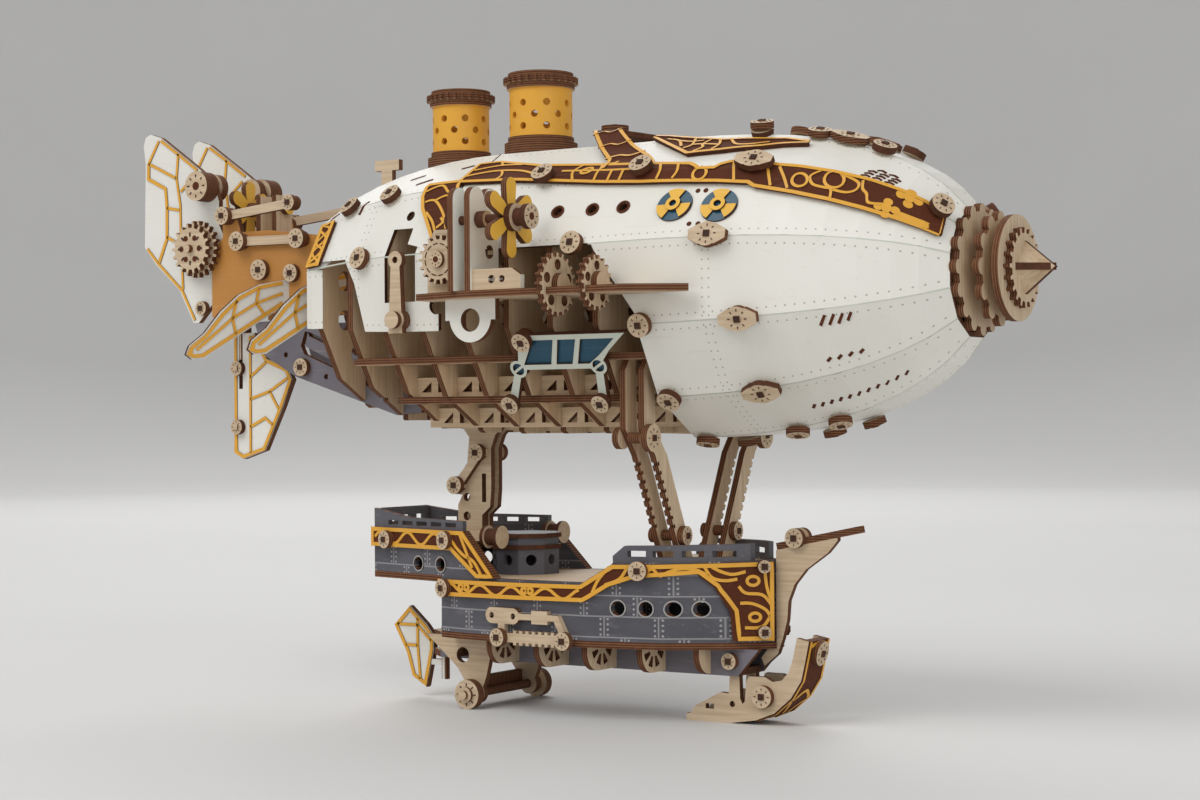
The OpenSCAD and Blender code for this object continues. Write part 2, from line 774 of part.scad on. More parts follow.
module hull_buttons() {
  over = trim + 0.5;
  color("tan") both() {
    for (x = [18.5, 52.4, 136]) {
      on_hull(x, 45, over) button();
    }
    on_hull(36, 15, 0.4) button();
    on_hull(58.5, -15, 0.4) button();
    on_hull(60.6, -45, 0.4) button();
    for (x = [61, 90, 103]) {
      on_hull(x, -75, 0.4) button();
    }
    for (x = [79.5, 97.5, 116.5]) {
      on_hull(x, 75, x < 92 ? over : 0.4) button();
    }
    on_hull(-43.5, 15, 0.4) button();
    for (x = [-40, -58]) {
      on_hull(x, 45, 0.4) button();
    }
    for (q = [[18.6, 9.2, 3], [7.2, -11.4, 2.8], [39, -11.4, 2.8]]) {
      on_panel(ply) translate([q[0], q[1], 0]) button(q[2]);
    }
    for (q = [[-89.7, 148.4, 3.2, 2], [-115.6, 148.7, 3.2, 2], [-93, 160.3, 2.6, 2], [-122, 157.5, 3, 2],
      [-94, 137.4, 2.9, 1], [-107.7, 139, 3.4, 1], [-77, 138, 3.2, 1], [-135.4, 127.2, 2.4, 0]]) {
      translate([q[0], -fin_y - q[3] * ply, q[1]]) rotate([90, 0, 0]) button(q[2]);
    }
    translate([-133.4, -fin_y, 168.1]) rotate([90, 0, 0]) cylinder(h = 6, r = 5);
    translate([-133.4, ply - fin_y, 168.1]) rotate([-90, 0, 0]) cylinder(h = 3, r = 4.6);
    translate([-91.5, -fin_y, 106.5]) rotate([90, 0, 0]) button(2.9);
  }
  color("tan") translate([saddle_x, 4.6, env_z + env_r * face_k + skin_gap + saddle_rise + trim + 0.1])
    button(4.2);
}

module hull_diamonds() {
  over = trim + 0.5;
  color("tan") both() {
    on_hull(88, 45, over) diamond();
    on_hull(80, 15, 0.4) diamond();
    on_hull(88.7, -15, 0.4) diamond();
    on_hull(89.3, -45, 0.4) diamond();
    on_hull(106.5, 75, 0.4) diamond();
  }
}

module tail_side_plates() {
  color("peru") both() at_y(-side_y)
    polygon([[-130, 124], [-122, 123], [tail_front, 127], [tail_front, 147], [frame_x, 149], [-104, 152],
      [-117, 152], [-119, 158], [-122, 160.4], [-125, 158], [-125, 150.5], [-130, 146]]);
}

module tail_keel_plates() {
  color("slategray") both() at_y(-fin_y + half) difference() {
    polygon([[-113, keel_high], [-109, 111], [-95, 103.5], [-53, 90.6], [-43, 91.4], [-43, keel_low],
      [keel_step, keel_low], [keel_step - 14, keel_high]]);
    polygon([[-89.8, 118.2], [-89.2, 116.6], [-81, 113.4], [-81, 115]]);
    polygon([[-92.8, 113.6], [-91, 118.4], [-89.8, 118], [-91, 113.4], [-85, 110.8], [-78, 107.9],
      [-78, 105.6], [-85, 108.3], [-91.4, 110.8]]);
    polygon([[-71.2, 101.8], [-66, 103.6], [-61.6, 101.6], [-60.8, 98.8]]);
    for (q = [[-99.3, 110.8], [-82.1, 103.3], [-56, 95]]) {
      translate(q) circle(0.9);
    }
  }
}

module tail_fins() {
  color("burlywood") both() at_y(-fin_y + half) difference() {
    polygon([[fin_tip, 184], [-162.3, 187], [-160, 188], [-155, 186.4], [-147.7, 181.5], [-138, 175],
      [-131, 170], [-128.5, 163], [-129, 156], [-126, 150.5], [-104, 150.5], [-104, 136], [-126, 134],
      [-138, 122.4], [-140.4, 122.4], [-146.7, 133.6], [-157.8, 143], [-163, 149], [-162.4, 178]]);
    translate([tail_gear_x, tail_gear_z]) circle(axle_r + run_gap);
  }
}

module tail_frames() {
  inner = fin_y - ply;
  color("tan") {
    for (x = [-112, -119]) {
      at_x(x) difference() {
        union() {
          translate([-inner, 139]) square([2 * inner, 11]);
          translate([-4, 150]) square([8, tail_prop_z - 146]);
        }
        translate([0, 144.5]) circle(3);
        translate([0, tail_prop_z]) circle(axle_r + run_gap);
      }
    }
    at_x(-146) difference() {
      translate([-inner, 137]) square([2 * inner, 14]);
      translate([0, 144]) circle(4);
    }
    at_x(frame_x) difference() {
      translate([-fin_y, 129]) square([2 * fin_y, 20]);
      translate([0, 139]) circle(5);
    }
  }
}

module stabiliser(x, z) {
  intersection() {
    translate([x, -fin_y, z]) rotate([0, 0, -30]) at_x(0)
      polygon([[8, 4], [0, 4], [-3, 4.2], [-12, 2.5], [-19, -1], [-25, -6.5], [-30.5, -13.6],
        [-35.4, -17.6],
        [-36.5, -20.5], [-34.5, -22], [-30.5, -21.7], [0, -2], [8, -2]]);
    translate([-200, -100, 0]) cube([200, 100 - fin_y - ply, 300]);
  }
}

module stabilisers() {
  color("ivory") both() {
    stabiliser(-96, 131);
    stabiliser(-69.5, 132);
  }
}

module tail_gears() {
  color("burlywood") {
    both() {
      at_y(-fin_y - ply - 1.6) translate([tail_gear_x, tail_gear_z]) gear2d(9.6, 22, 1.4);
      at_y(-fin_y - 2 * ply - 2.2) translate([tail_gear_x, tail_gear_z]) gear2d(8.4, 18, 1.4);
      translate([tail_gear_x, 0, tail_gear_z]) rotate([90, 0, 0]) {
        translate([0, 0, fin_y + 0.4]) cylinder(h = ply + 0.2, r = 2.4);
        translate([0, 0, fin_y + 2 * ply + 0.6]) cylinder(h = 0.6, r = 2.4);
      }
    }
    translate([tail_gear_x, 22, tail_gear_z]) rotate([90, 0, 0]) cylinder(h = 44, r = axle_r);
  }
}

module tail_cranks() {
  y = fin_y + ply + half;
  color("goldenrod") both() at_y(-y) difference() {
    union() {
      translate([-122, 157.5]) circle(2.8);
      polygon([[-122, 156], [-93, 158.8], [-93, 161.8], [-122, 159]]);
      translate([-93, 160.3]) circle(2.4);
      translate([-89.7, 148.4]) circle(2.6);
      polygon([[-115.6, 147.2], [-89.7, 146.9], [-89.7, 149.9], [-115.6, 150.2]]);
      translate([-115.6, 148.7]) circle(2.6);
    }
    translate([-93, 160.3]) circle(0.9);
  }
}

// Propeller between the fins on its own shaft
module tail_propeller() {
  x = tail_prop_x;
  color("gold") {
    difference() {
      at_x(x) translate([0, tail_prop_z]) blades2d(9.6);
      translate([x - 9, 0, tail_prop_z]) rotate([0, 90, 0]) cylinder(h = 20, r = axle_r);
    }
    translate([0, 0, tail_prop_z]) rotate([0, 90, 0]) {
      translate([0, 0, x - 5]) cylinder(h = 23, r = axle_r);
      translate([0, 0, x - half - 3]) cylinder(h = 3, r = 2.6);
      translate([0, 0, x + half]) cylinder(h = -119 - half - collar_gap - x - half, r = 2.4);
      translate([0, 0, -112 + half + collar_gap]) cylinder(h = ply, r = 2.4);
    }
  }
}

module rudder_bearings() {
  inner = fin_y - ply;
  color("tan") for (z = [129, 137]) {
    at_z(z) difference() {
      translate([rud_x - 9, -inner]) square([18, 2 * inner]);
      translate([rud_x, 0]) circle(axle_r + run_gap);
    }
  }
}

module lower_rudder() {
  x = rud_x;
  color("burlywood") {
    difference() {
      at_y(0) polygon([[x - 3, 119], [x - 3, 78], [x + 1, 76], [x + 11, 79], [x + 19, 94], [x + 23, 103],
        [x + 21, 107], [x + 12, 110], [x + 6, 119]]);
      translate([x, 0, 100]) cylinder(h = 60, r = axle_r);
    }
    translate([x, 0, 110]) cylinder(h = 31, r = axle_r);
    both() for (z = [87, 107]) {
      translate([x - 0.5, -half, z]) rotate([90, 0, 0]) button(2.5);
    }
    translate([x, 0, 119]) cylinder(h = 8.6, r = 3);
    translate([x, 0, 139]) cylinder(h = 1.6, r = 2.6);
  }
}

module rear_pylons() {
  color("peru") both() difference() {
    at_y(-pylon_y) difference() {
      union() {
        polygon([[-39, 101], [-16, 101], [-16, 90], [-21.8, 84], [-23.4, 80], [-23.4, 67], [-23.9, 61.5],
          [-27, 58.9], [-27, pylon_low], [-36.4, pylon_low], [-36.4, 62], [-34.5, 65.5], [-33, 72],
          [-31.9, 83.5], [-39, 92]]);
        translate([-35.2, 68.3]) circle(3.1);
      }
      translate([-27, 63]) square([1.6, 9]);
      translate([-32.9, 64.5]) circle(1.3);
      translate([-32.9, 58.5]) circle(1.4);
    }
    translate([0, 0, 94 - slot_gap]) x_slots(ribs_x);
  }
}

// Inclined struts beside two of the ribs
module front_struts() {
  color("peru") both() for (x = strut_x) {
    at_x(x) difference() {
      polygon([[-33, shelf_hi - half], [-29.2, shelf_hi - half], [-29.2, 86], [-27.4, 84], [-22.8, 78.5],
        [-11.8, 55], [-8.2, fore_deck], [-14.6, fore_deck], [-18.2, 55], [-29.2, 78.5], [-35.2, 86],
        [-35.2, 103]]);
      for (i = [1 : 8]) {
        translate([-29.2 + 1.222 * i, 78.5 - 2.611 * i]) rotate(25) square([1.8, 1.2], center = true);
      }
    }
  }
}

module boat_floor() {
  color("slategray") translate([0, 0, floor_z]) linear_extrude(ply) deck2d(hull_end, 80, 0);
}

module boat_keel_box() {
  color("dimgray") {
    both() at_y(-box_y) polygon([[-40, floor_z], [-40, 14], [68, 14], [75, floor_z]]);
    translate([-40, -box_y + half, 14]) cube([108, 2 * box_y - ply, ply]);
  }
}

// Slots of a hull rib, like half a wheel
module rib_fan() {
  for (i = [0 : 3]) {
    rotate(205 + i * 130 / 3) polygon([[2.3, -0.45], [5.5, -1.25], [5.5, 1.25], [2.3, 0.45]]);
  }
}

module hull_ribs() {
  in = box_y + half;
  low = 14.4;
  bend = 6;
  color("saddlebrown") both() for (x = [-10.5, 8, 25.3, 42.5, 58]) {
    out = plan_y(x) - 2.5;
    at_x(x) difference() {
      union() {
        polygon([[-in, floor_z], [-out, floor_z], [-out, low + bend], [bend - out, low], [-in, low]]);
        translate([bend - out, low + bend]) circle(bend);
      }
      translate([-40, floor_z]) square([80, 10]);
      translate([-in, 0]) square([2 * in, 40]);
      if (out - in > 10) {
        translate([-(in + out) / 2, floor_z - 0.6]) rib_fan();
      }
    }
  }
}

// Part of a strip along the hull's plan line, cut to a side profile
module hull_strip(d0, d1) {
  intersection() {
    linear_extrude(100) polygon(concat(off_line(plan, d0), back(off_line(plan, d1))));
    translate([0, 60, 0]) rotate([90, 0, 0]) linear_extrude(60) children();
  }
}

module hull_side() {
  hull_strip(-ply, 0) difference() {
    polygon([[hull_end, floor_top], [90, floor_top], [90, fore_deck + 1], [36, fore_deck], [30, deck_z],
      [hull_end, deck_z]]);
    for (x = [37.5, 46, 53.5, 60.5]) {
      translate([x, deck_z - 7.2]) circle(2.1);
    }
  }
}

module hull_side_right() {
  color("slategray") mirror([0, 1, 0]) hull_side();
}

module hull_side_left() {
  color("slategray") hull_side();
}

// Deck outline inside the hull sides between two stations
module deck2d(x0, x1, d) {
  line = off_line(plan, d);
  intersection() {
    polygon(concat(line, back([for (p = line) [p[0], -p[1]]])));
    translate([x0, -40]) square([x1 - x0, 80]);
  }
}

module decks() {
  color("burlywood") {
    at_z(deck_mid) union() {
      deck2d(-62, hull_end - 0.1, 0);
      deck2d(-40, 75, -ply - 0.1);
    }
    at_z(fore_deck - half) deck2d(36, 75, -ply - 0.1);
    at_z(castle_deck - half) deck2d(-60, -24.5, -ply - 0.1);
  }
}

module castle_sides() {
  wide = plan_y(-60.6) - ply - 0.2;
  color("slategray") {
    both() hull_strip(-ply, 0) difference() {
      polygon([[-62, deck_z], [-5, deck_z], [-17.9, castle_deck + 4], [-62, castle_deck + 4]]);
      translate([-39.9, deck_z + 3.2]) circle(2);
      translate([-29.2, deck_z + 3.3]) circle(2);
    }
    at_x(-59.6) difference() {
      translate([-wide, deck_z]) square([2 * wide, castle_deck - ply - deck_z]);
      translate([0, deck_z + 4]) circle(2);
    }
  }
}

module hull_trim() {
  color("goldenrod") both() {
    hull_strip(0, trim) polygon([[hull_end, 35], [27.3, 35.4], [35.2, 40.1], [43.1, 42.7], [59.8, 44.1],
      [64.2, 40.4], [68, 33.3], [68.6, floor_top + 0.5], [80, floor_top + 0.5], [80, fore_deck + 0.5],
      [36.1, fore_deck - 0.5], [26.3, 40.4], [hull_end, 40]]);
    hull_strip(0, trim) polygon([[-62, castle_deck - 2], [-23.1, castle_deck - 2], [-12.5, 41], [-5, 41],
      [-17.9, castle_deck + 4], [-62, castle_deck + 4]]);
  }
}

module deck_rails() {
  top = fore_deck + 5;
  castle = castle_deck + 4;
  wide = plan_y(-61) - ply - 0.3;
  color("burlywood") {
    both() hull_strip(-ply, 0) difference() {
      polygon([[36, fore_deck], [72, fore_deck + 0.68], [72, top + 0.6], [39.6, top],
        [36, fore_deck + 2]]);
      for (i = [0 : 3]) {
        translate([40.5 + 7.6 * i, fore_deck + 1.8]) square([5.6, 1.8]);
      }
    }
    both() hull_strip(-ply, 0) difference() {
      polygon([[-62, castle], [-19, castle], [-19, castle + 3], [-45, castle + 3.4], [-62, castle + 6]]);
      for (i = [0 : 4]) {
        translate([-55 + 7 * i, castle + 0.9]) square([5, 1.4]);
      }
    }
    at_x(-60) difference() {
      translate([-wide, castle_deck]) square([2 * wide, castle + 6 - castle_deck]);
      for (y = [-9.4, -2.4, 4.6]) {
        translate([y, castle + 1.4]) square([4.8, 2]);
      }
    }
  }
}

module cabin() {
  top = castle_deck + 2.7;
  color("dimgray") translate([cabin_x, 0, 0]) {
    difference() {
      union() {
        translate([0, 0, deck_z]) rotate(22.5) cylinder(h = top - deck_z, r = 10.6, $fn = 8);
        for (z = [top - 4.9, top - 1.4]) {
          translate([0, 0, z]) rotate(22.5) cylinder(h = 1.4, r = 11.4, $fn = 8);
        }
      }
      translate([0, 0, deck_z + ply]) cylinder(h = 8, r = 8);
      for (a = [0 : 45 : 315]) {
        translate([0, 0, deck_z + 4.5]) rotate([0, 90, a]) translate([0, 0, 5]) cylinder(h = 10, r = 1.7);
      }
    }
    both() {
      translate([0, -9, top - 0.7]) rotate([90, 0, 0]) cylinder(h = 8, r = 0.7);
      translate([-2.5, -16.9, top - 0.7]) rotate([0, 90, 0]) cylinder(h = 5, r = 2.6);
      for (x = [-3.1, 1.9]) {
        translate([x, -16.9, top - 0.7]) rotate([0, 90, 0]) cylinder(h = 1.2, r = 3.5);
      }
    }
  }
}

// Underside of the bowsprit at a station
function sprit_z(x) = fore_deck + 3.6 + (x - 77.5) * tan(sprit_a);

module bow_stem() {
  color("burlywood") at_y(0) polygon([[77.1, sprit_z(77.1)], [97.1, sprit_z(97.1)], [97.1, 53.7],
    [93.9, 50.1], [86.9, 45.2], [83.1, 40.7], [81.1, 35.9], [80.6, 30.1], [79.1, 24.8], [77.5, 20.4],
    [73.1, 16.7], [72, 19], [74.5, floor_z], [77.1, floor_z]]);
}

module bowsprit() {
  color("peru") translate([77.5, -half, sprit_z(77.5)]) rotate([0, -sprit_a, 0]) cube([28, ply, ply]);
}

module ski_runners() {
  color("burlywood") both() at_y(-ski_y) difference() {
    polygon([[50.5, 2], [63.8, 2], [72.6, 3.4], [78, 5.8], [82.9, 10], [85.9, 14.6], [87.2, 20],
      [88.4, 25.4], [86.4, 25.8], [85, 19.6], [83.6, 15.8], [81.4, 13.4], [78.4, 12.8], [76, 14], [70.4, 14],
      [69.6, 12], [69.2, 6.6], [68.4, 5.8], [67.6, 7.4], [67.4, 14], [64.2, 14], [63.8, 8.6], [61, 8.8],
      [52.8, 4.6]]);
    translate([56, 3.8]) square([2.8, 1.5]);
    translate([65, 5.6]) circle(0.9);
  }
}

module ski_sole() {
  w = ski_y + half + 0.2;
  color("tan") translate([0, w, 0]) rotate([90, 0, 0]) linear_extrude(2 * w)
    polygon([[49.5, 0], [64, 0], [73, 1.4], [79, 3.8], [84.4, 8.4], [87.8, 13.6], [89.2, 19.5],
      [90.4, 25], [88.4, 25.4], [87.2, 20], [85.9, 14.6], [82.9, 10], [78, 5.8], [72.6, 3.4],
      [63.8, 2], [49.5, 2]]);
}

module stern_foot() {
  color("burlywood") {
    both() at_y(-arm_y) difference() {
      union() {
        polygon([[-40, floor_z], [-14, floor_z], [-17, 10], [-19, wheel_r], [-23, wheel_r], [-28, 12]]);
        translate([wheel_x, wheel_r]) circle(3.2);
      }
      translate([wheel_x, wheel_r]) circle(axle_r + run_gap);
      translate([-26, 16]) circle(2.4);
    }
    at_x(wheel_x - 3.2) translate([-arm_y + half, 2.6]) square([2 * arm_y - ply, 6.4]);
    both() at_x(-30) translate([-arm_y + half, 15]) square([arm_y - half - box_y - half, floor_z - 15]);
    for (z = [14, floor_z - ply]) {
      translate([0, 0, z]) linear_extrude(ply) difference() {
        polygon([[-46.5, -2.4], [-46.5, 2.4], [-40, box_y + half], [-40, -box_y - half]]);
        translate([rudder_x, 0]) circle(axle_r + run_gap);
      }
    }
  }
}

module stern_wheels() {
  color("tan") translate([wheel_x, 0, wheel_r]) {
    translate([0, 22, 0]) rotate([90, 0, 0]) cylinder(h = 44, r = axle_r);
    both() {
      translate([0, -17, 0]) rotate([90, 0, 0]) cylinder(h = 3, r = wheel_r);
      translate([0, -arm_y - half - collar_gap, 0]) rotate([90, 0, 0])
        cylinder(h = 17 - arm_y - half - collar_gap, r = 2.4);
      translate([0, -20, 0]) rotate([90, 0, 0]) cylinder(h = 1, r = 2.4);
    }
  }
}

// Rudder on a pin held by two gudgeons behind the keel box
module boat_rudder() {
  color("ivory") {
    at_y(0) polygon([[-64, 22.6], [-57.6, 29], [-51, 23.4], [-48, 20], [-48, 15], [-51, 3],
      [-56.5, 6.2], [-59, 14]]);
    translate([rudder_x, 0, 6]) cylinder(h = 17, r = axle_r);
    for (z = [10.4, 18]) {
      translate([-49, -half, z]) cube([49 + rudder_x, ply, 1.8]);
    }
  }
}

module side_linkages() {
  color("saddlebrown") both() {
    hull_strip(0, ply) difference() {
      union() {
        translate([head[0], link_z - 2.4]) square([head[1] - head[0], 4.8]);
        translate([rack[0] - 1.3, rack_z]) square([2.6, link_z - rack_z]);
        translate([head[1], link_z - 0.9]) square([16, 1.8]);
        translate([9.4, link_z - 2]) square([5.7, 4]);
        polygon([[17.4, link_z + 0.9], [18.8, link_z + 0.9], [rack[1] + 1, rack_z],
          [rack[1] - 1.2, rack_z], [17.4, link_z - 0.9]]);
        translate([rack[0], rack_z - 1.4]) square([rack[1] - rack[0], 2.8]);
        for (i = [0 : 6]) {
          translate([2.6 + 2.3 * i, rack_z - 2.2]) square([1.1, 4.4]);
        }
        for (x = head) {
          translate([x, link_z]) circle(2.4);
        }
      }
      for (x = head) {
        translate([x, link_z]) circle(0.9);
      }
    }
    at_y(-pylon_y - ply) union() {
      translate([-26.7, 78.6]) circle(2);
      translate([-35.2, 68.3]) circle(2);
      polygon([[-25.6, 77.7], [-27.8, 79.5], [-36.3, 69.2], [-34.1, 67.4]]);
    }
  }
}

module gondola_buttons() {
  flat = pylon_y + half + ply;
  color("tan") both() {
    for (q = [[-53.4, 51.3, 2.8], [-24.8, 52.1, 2.8], [-25.5, 37.4, 2.8], [44.5, 44.9, 2.8],
      [74.4, 46, 1.9], [74.4, 27, 1.9]]) {
      on_side(q[0], q[1], trim) button(q[2]);
    }
    for (x = rack) {
      on_side(x, rack_z, ply) button(2.7);
    }
    translate([75.7, -ski_y - half, 8.5]) rotate([90, 0, 0]) button(3.2);
    translate([66, -box_y - half, 18.4]) rotate([90, 0, 0]) button(2.4);
    translate([84, -half, 54.2]) rotate([90, 0, 0]) button(2.9);
    for (q = [[-26.7, 78.6], [-35.2, 68.3]]) {
      translate([q[0], -flat, q[1]]) rotate([90, 0, 0]) button(2.8);
    }
    for (q = [[-33.2, 83.5, 4], [-15, 54.9, 2.8]]) {
      translate([strut_x[0] + half, q[0], q[1]]) rotate([0, 90, 0])
        cylinder(h = strut_x[1] - strut_x[0] - ply, r = 1.6);
      translate([strut_x[1] + half, q[0], q[1]]) rotate([0, 90, 0]) button(q[2]);
      translate([strut_x[0] - half, q[0], q[1]]) rotate([0, -90, 0]) button(0.8 * q[2]);
    }
  }
  color("tan") translate([89.64, 0, 21.5]) rotate([0, 102.3, 0]) button(3.6);
}

// Small T-shaped post on the cowl
module top_post() {
  color("burlywood") difference() {
    at_y(0) union() {
      translate([-68.2, 150]) square([4.4, 23]);
      translate([-71, 170.4]) square([10, 3.4]);
    }
    top_cut();
  }
}

nose_plate();
nose_gear();
nose_ring();
nose_pinion();
nose_cone();
nose_axle();
envelope_front();
envelope_top();
rear_cowl();
ribs();
keel_plate();
keel_shelves();
chimney_tubes();
chimney_rims();
ornament_bands();
window_panels();
outrigger_plates();
outrigger_gears();
engine_brackets();
propeller_right();
propeller_left();
engine_gear_right();
engine_gear_left();
cowl_lever_right();
cowl_lever_left();
lever_pins();
hull_buttons();
hull_diamonds();
tail_side_plates();
tail_keel_plates();
tail_fins();
tail_frames();
stabilisers();
tail_gears();
tail_cranks();
tail_propeller();
rudder_bearings();
lower_rudder();
rear_pylons();
front_struts();
boat_floor();
boat_keel_box();
hull_ribs();
hull_side_right();
hull_side_left();
decks();
castle_sides();
hull_trim();
deck_rails();
cabin();
bow_stem();
bowsprit();
ski_runners();
ski_sole();
stern_foot();
stern_wheels();
boat_rudder();
side_linkages();
gondola_buttons();
top_post();
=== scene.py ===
import math
import bpy
import numpy as np
from mathutils import Matrix, Vector


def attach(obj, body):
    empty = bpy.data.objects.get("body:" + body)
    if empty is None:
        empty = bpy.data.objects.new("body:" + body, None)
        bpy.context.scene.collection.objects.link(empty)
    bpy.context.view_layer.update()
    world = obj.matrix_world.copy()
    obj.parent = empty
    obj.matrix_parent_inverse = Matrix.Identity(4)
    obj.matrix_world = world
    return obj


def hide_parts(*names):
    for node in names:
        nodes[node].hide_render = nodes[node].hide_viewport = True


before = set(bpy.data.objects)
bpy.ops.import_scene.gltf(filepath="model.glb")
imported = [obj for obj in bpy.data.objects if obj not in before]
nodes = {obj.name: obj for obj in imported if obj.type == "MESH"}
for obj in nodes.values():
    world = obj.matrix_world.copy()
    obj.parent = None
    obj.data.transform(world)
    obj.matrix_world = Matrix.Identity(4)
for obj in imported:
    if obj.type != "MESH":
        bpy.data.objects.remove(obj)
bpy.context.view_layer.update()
print("frame loaded:", len(nodes), "nodes")


def tone(r, g, b):  # screen colour to scene colour
    return tuple(c / 3294.6 if c <= 10 else ((c / 255 + 0.055) / 1.055) ** 2.4 for c in (r, g, b)) + (1.0,)


def startFinish(name, rough, specular=0.4):
    mat = bpy.data.materials.new(name)
    mat.use_nodes = True
    tree = mat.node_tree
    shader = tree.nodes["Principled BSDF"]
    shader.inputs["Roughness"].default_value = rough
    shader.inputs["Specular IOR Level"].default_value = specular
    place = tree.nodes.new("ShaderNodeTexCoord").outputs["Object"]
    return mat, tree, shader, place


def calc(tree, op, a, b=None, c=None):
    node = tree.nodes.new("ShaderNodeMath")
    node.operation = op
    for i, v in enumerate((a, b, c)):
        if v is None:
            continue
        if isinstance(v, (int, float)):
            node.inputs[i].default_value = v
        else:
            tree.links.new(v, node.inputs[i])
    return node.outputs[0]


def mixTone(tree, factor, a, b):
    node = tree.nodes.new("ShaderNodeMix")
    node.data_type = "RGBA"
    for socket, v in ((node.inputs[0], factor), (node.inputs[6], a), (node.inputs[7], b)):
        if isinstance(v, (int, float, tuple)):
            socket.default_value = v
        else:
            tree.links.new(v, socket)
    return node.outputs[2]


def noise(tree, place, stretch, detail=3.0):
    turn = tree.nodes.new("ShaderNodeMapping")
    turn.inputs["Scale"].default_value = stretch
    tree.links.new(place, turn.inputs["Vector"])
    grain = tree.nodes.new("ShaderNodeTexNoise")
    grain.inputs["Scale"].default_value = 1.0
    grain.inputs["Detail"].default_value = detail
    tree.links.new(turn.outputs["Vector"], grain.inputs["Vector"])
    return grain.outputs["Fac"]


def split(tree, place):
    node = tree.nodes.new("ShaderNodeSeparateXYZ")
    tree.links.new(place, node.inputs[0])
    return node.outputs[0], node.outputs[1], node.outputs[2]


def reach(tree, a, b):  # distance from two offsets
    return calc(tree, "SQRT", calc(tree, "MULTIPLY_ADD", a, a, calc(tree, "MULTIPLY", b, b)))


def flecks(tree, grain, above, share):  # streaks where the grain runs high
    return calc(tree, "MULTIPLY", calc(tree, "GREATER_THAN", grain, above), share)


def darker(colour, share):
    return tuple(c * share for c in colour[:3]) + (1.0,)


def addBump(tree, shader, height, strength, distance=0.0003):
    bump = tree.nodes.new("ShaderNodeBump")
    bump.inputs["Strength"].default_value = strength
    bump.inputs["Distance"].default_value = distance
    tree.links.new(height, bump.inputs["Height"])
    tree.links.new(bump.outputs[0], shader.inputs["Normal"])


grainWays = {"x": (35.0, 900.0, 900.0), "z": (900.0, 900.0, 35.0)}


def woodFace(name, light, dark, way, rough=0.62):
    mat, tree, shader, place = startFinish(name, rough)
    fine = noise(tree, place, grainWays[way], 4.0)
    broad = noise(tree, place, (22.0, 26.0, 24.0), 2.0)
    veins = calc(tree, "SMOOTH_MIN", calc(tree, "MULTIPLY_ADD", fine, 2.2, -0.6), 1.0, 0.1)
    colour = mixTone(tree, veins, dark, light)
    patches = calc(tree, "MULTIPLY_ADD", broad, 0.5, -0.1)
    colour = mixTone(tree, patches, colour, darker(light, 0.86))
    tree.links.new(colour, shader.inputs["Base Color"])
    addBump(tree, shader, fine, 0.12)
    return mat


edgeLayers = {"half": 0.00036, "dark": 0.00022}


def burntEdge(name, axis):  # laser-cut edge, layers run along the plate
    mat, tree, shader, place = startFinish(name, 0.82, 0.25)
    char = noise(tree, place, (420.0, 420.0, 420.0), 3.0)
    colour = mixTone(tree, char, tone(52, 28, 18), tone(104, 64, 42))
    if axis is not None:
        along = split(tree, place)[axis]
        layer = calc(tree, "PINGPONG", along, edgeLayers["half"])
        pale = calc(tree, "GREATER_THAN", layer, edgeLayers["dark"])
        colour = mixTone(tree, calc(tree, "MULTIPLY", pale, 0.6), colour, tone(150, 104, 70))
    tree.links.new(colour, shader.inputs["Base Color"])
    addBump(tree, shader, char, 0.25)
    return mat


def printedFace(name, colour, way="x", rough=0.5, worn=0.10, shade=0.88, gloss=0.4):
    mat, tree, shader, place = startFinish(name, rough, gloss)
    fine = noise(tree, place, grainWays[way], 4.0)
    broad = noise(tree, place, (30.0, 30.0, 30.0), 3.0)
    patches = calc(tree, "MULTIPLY_ADD", broad, 1.4, -0.2)
    mixed = mixTone(tree, patches, darker(colour, shade), colour)
    mixed = mixTone(tree, flecks(tree, fine, 0.63, worn), mixed, tone(206, 184, 154))
    tree.links.new(mixed, shader.inputs["Base Color"])
    addBump(tree, shader, fine, 0.08)
    return mat


# skin panels: white print with rows of small rivets beside the ridges and across the nose
skin = {"axis": 0.127, "bend": 0.040, "rise": 0.015, "row": 0.0021, "step": 0.0013, "dot": 0.00027,
        "rings": (0.0775, 0.0795), "aftRings": (-0.0455, -0.0475)}
halfPanel = math.radians(15)


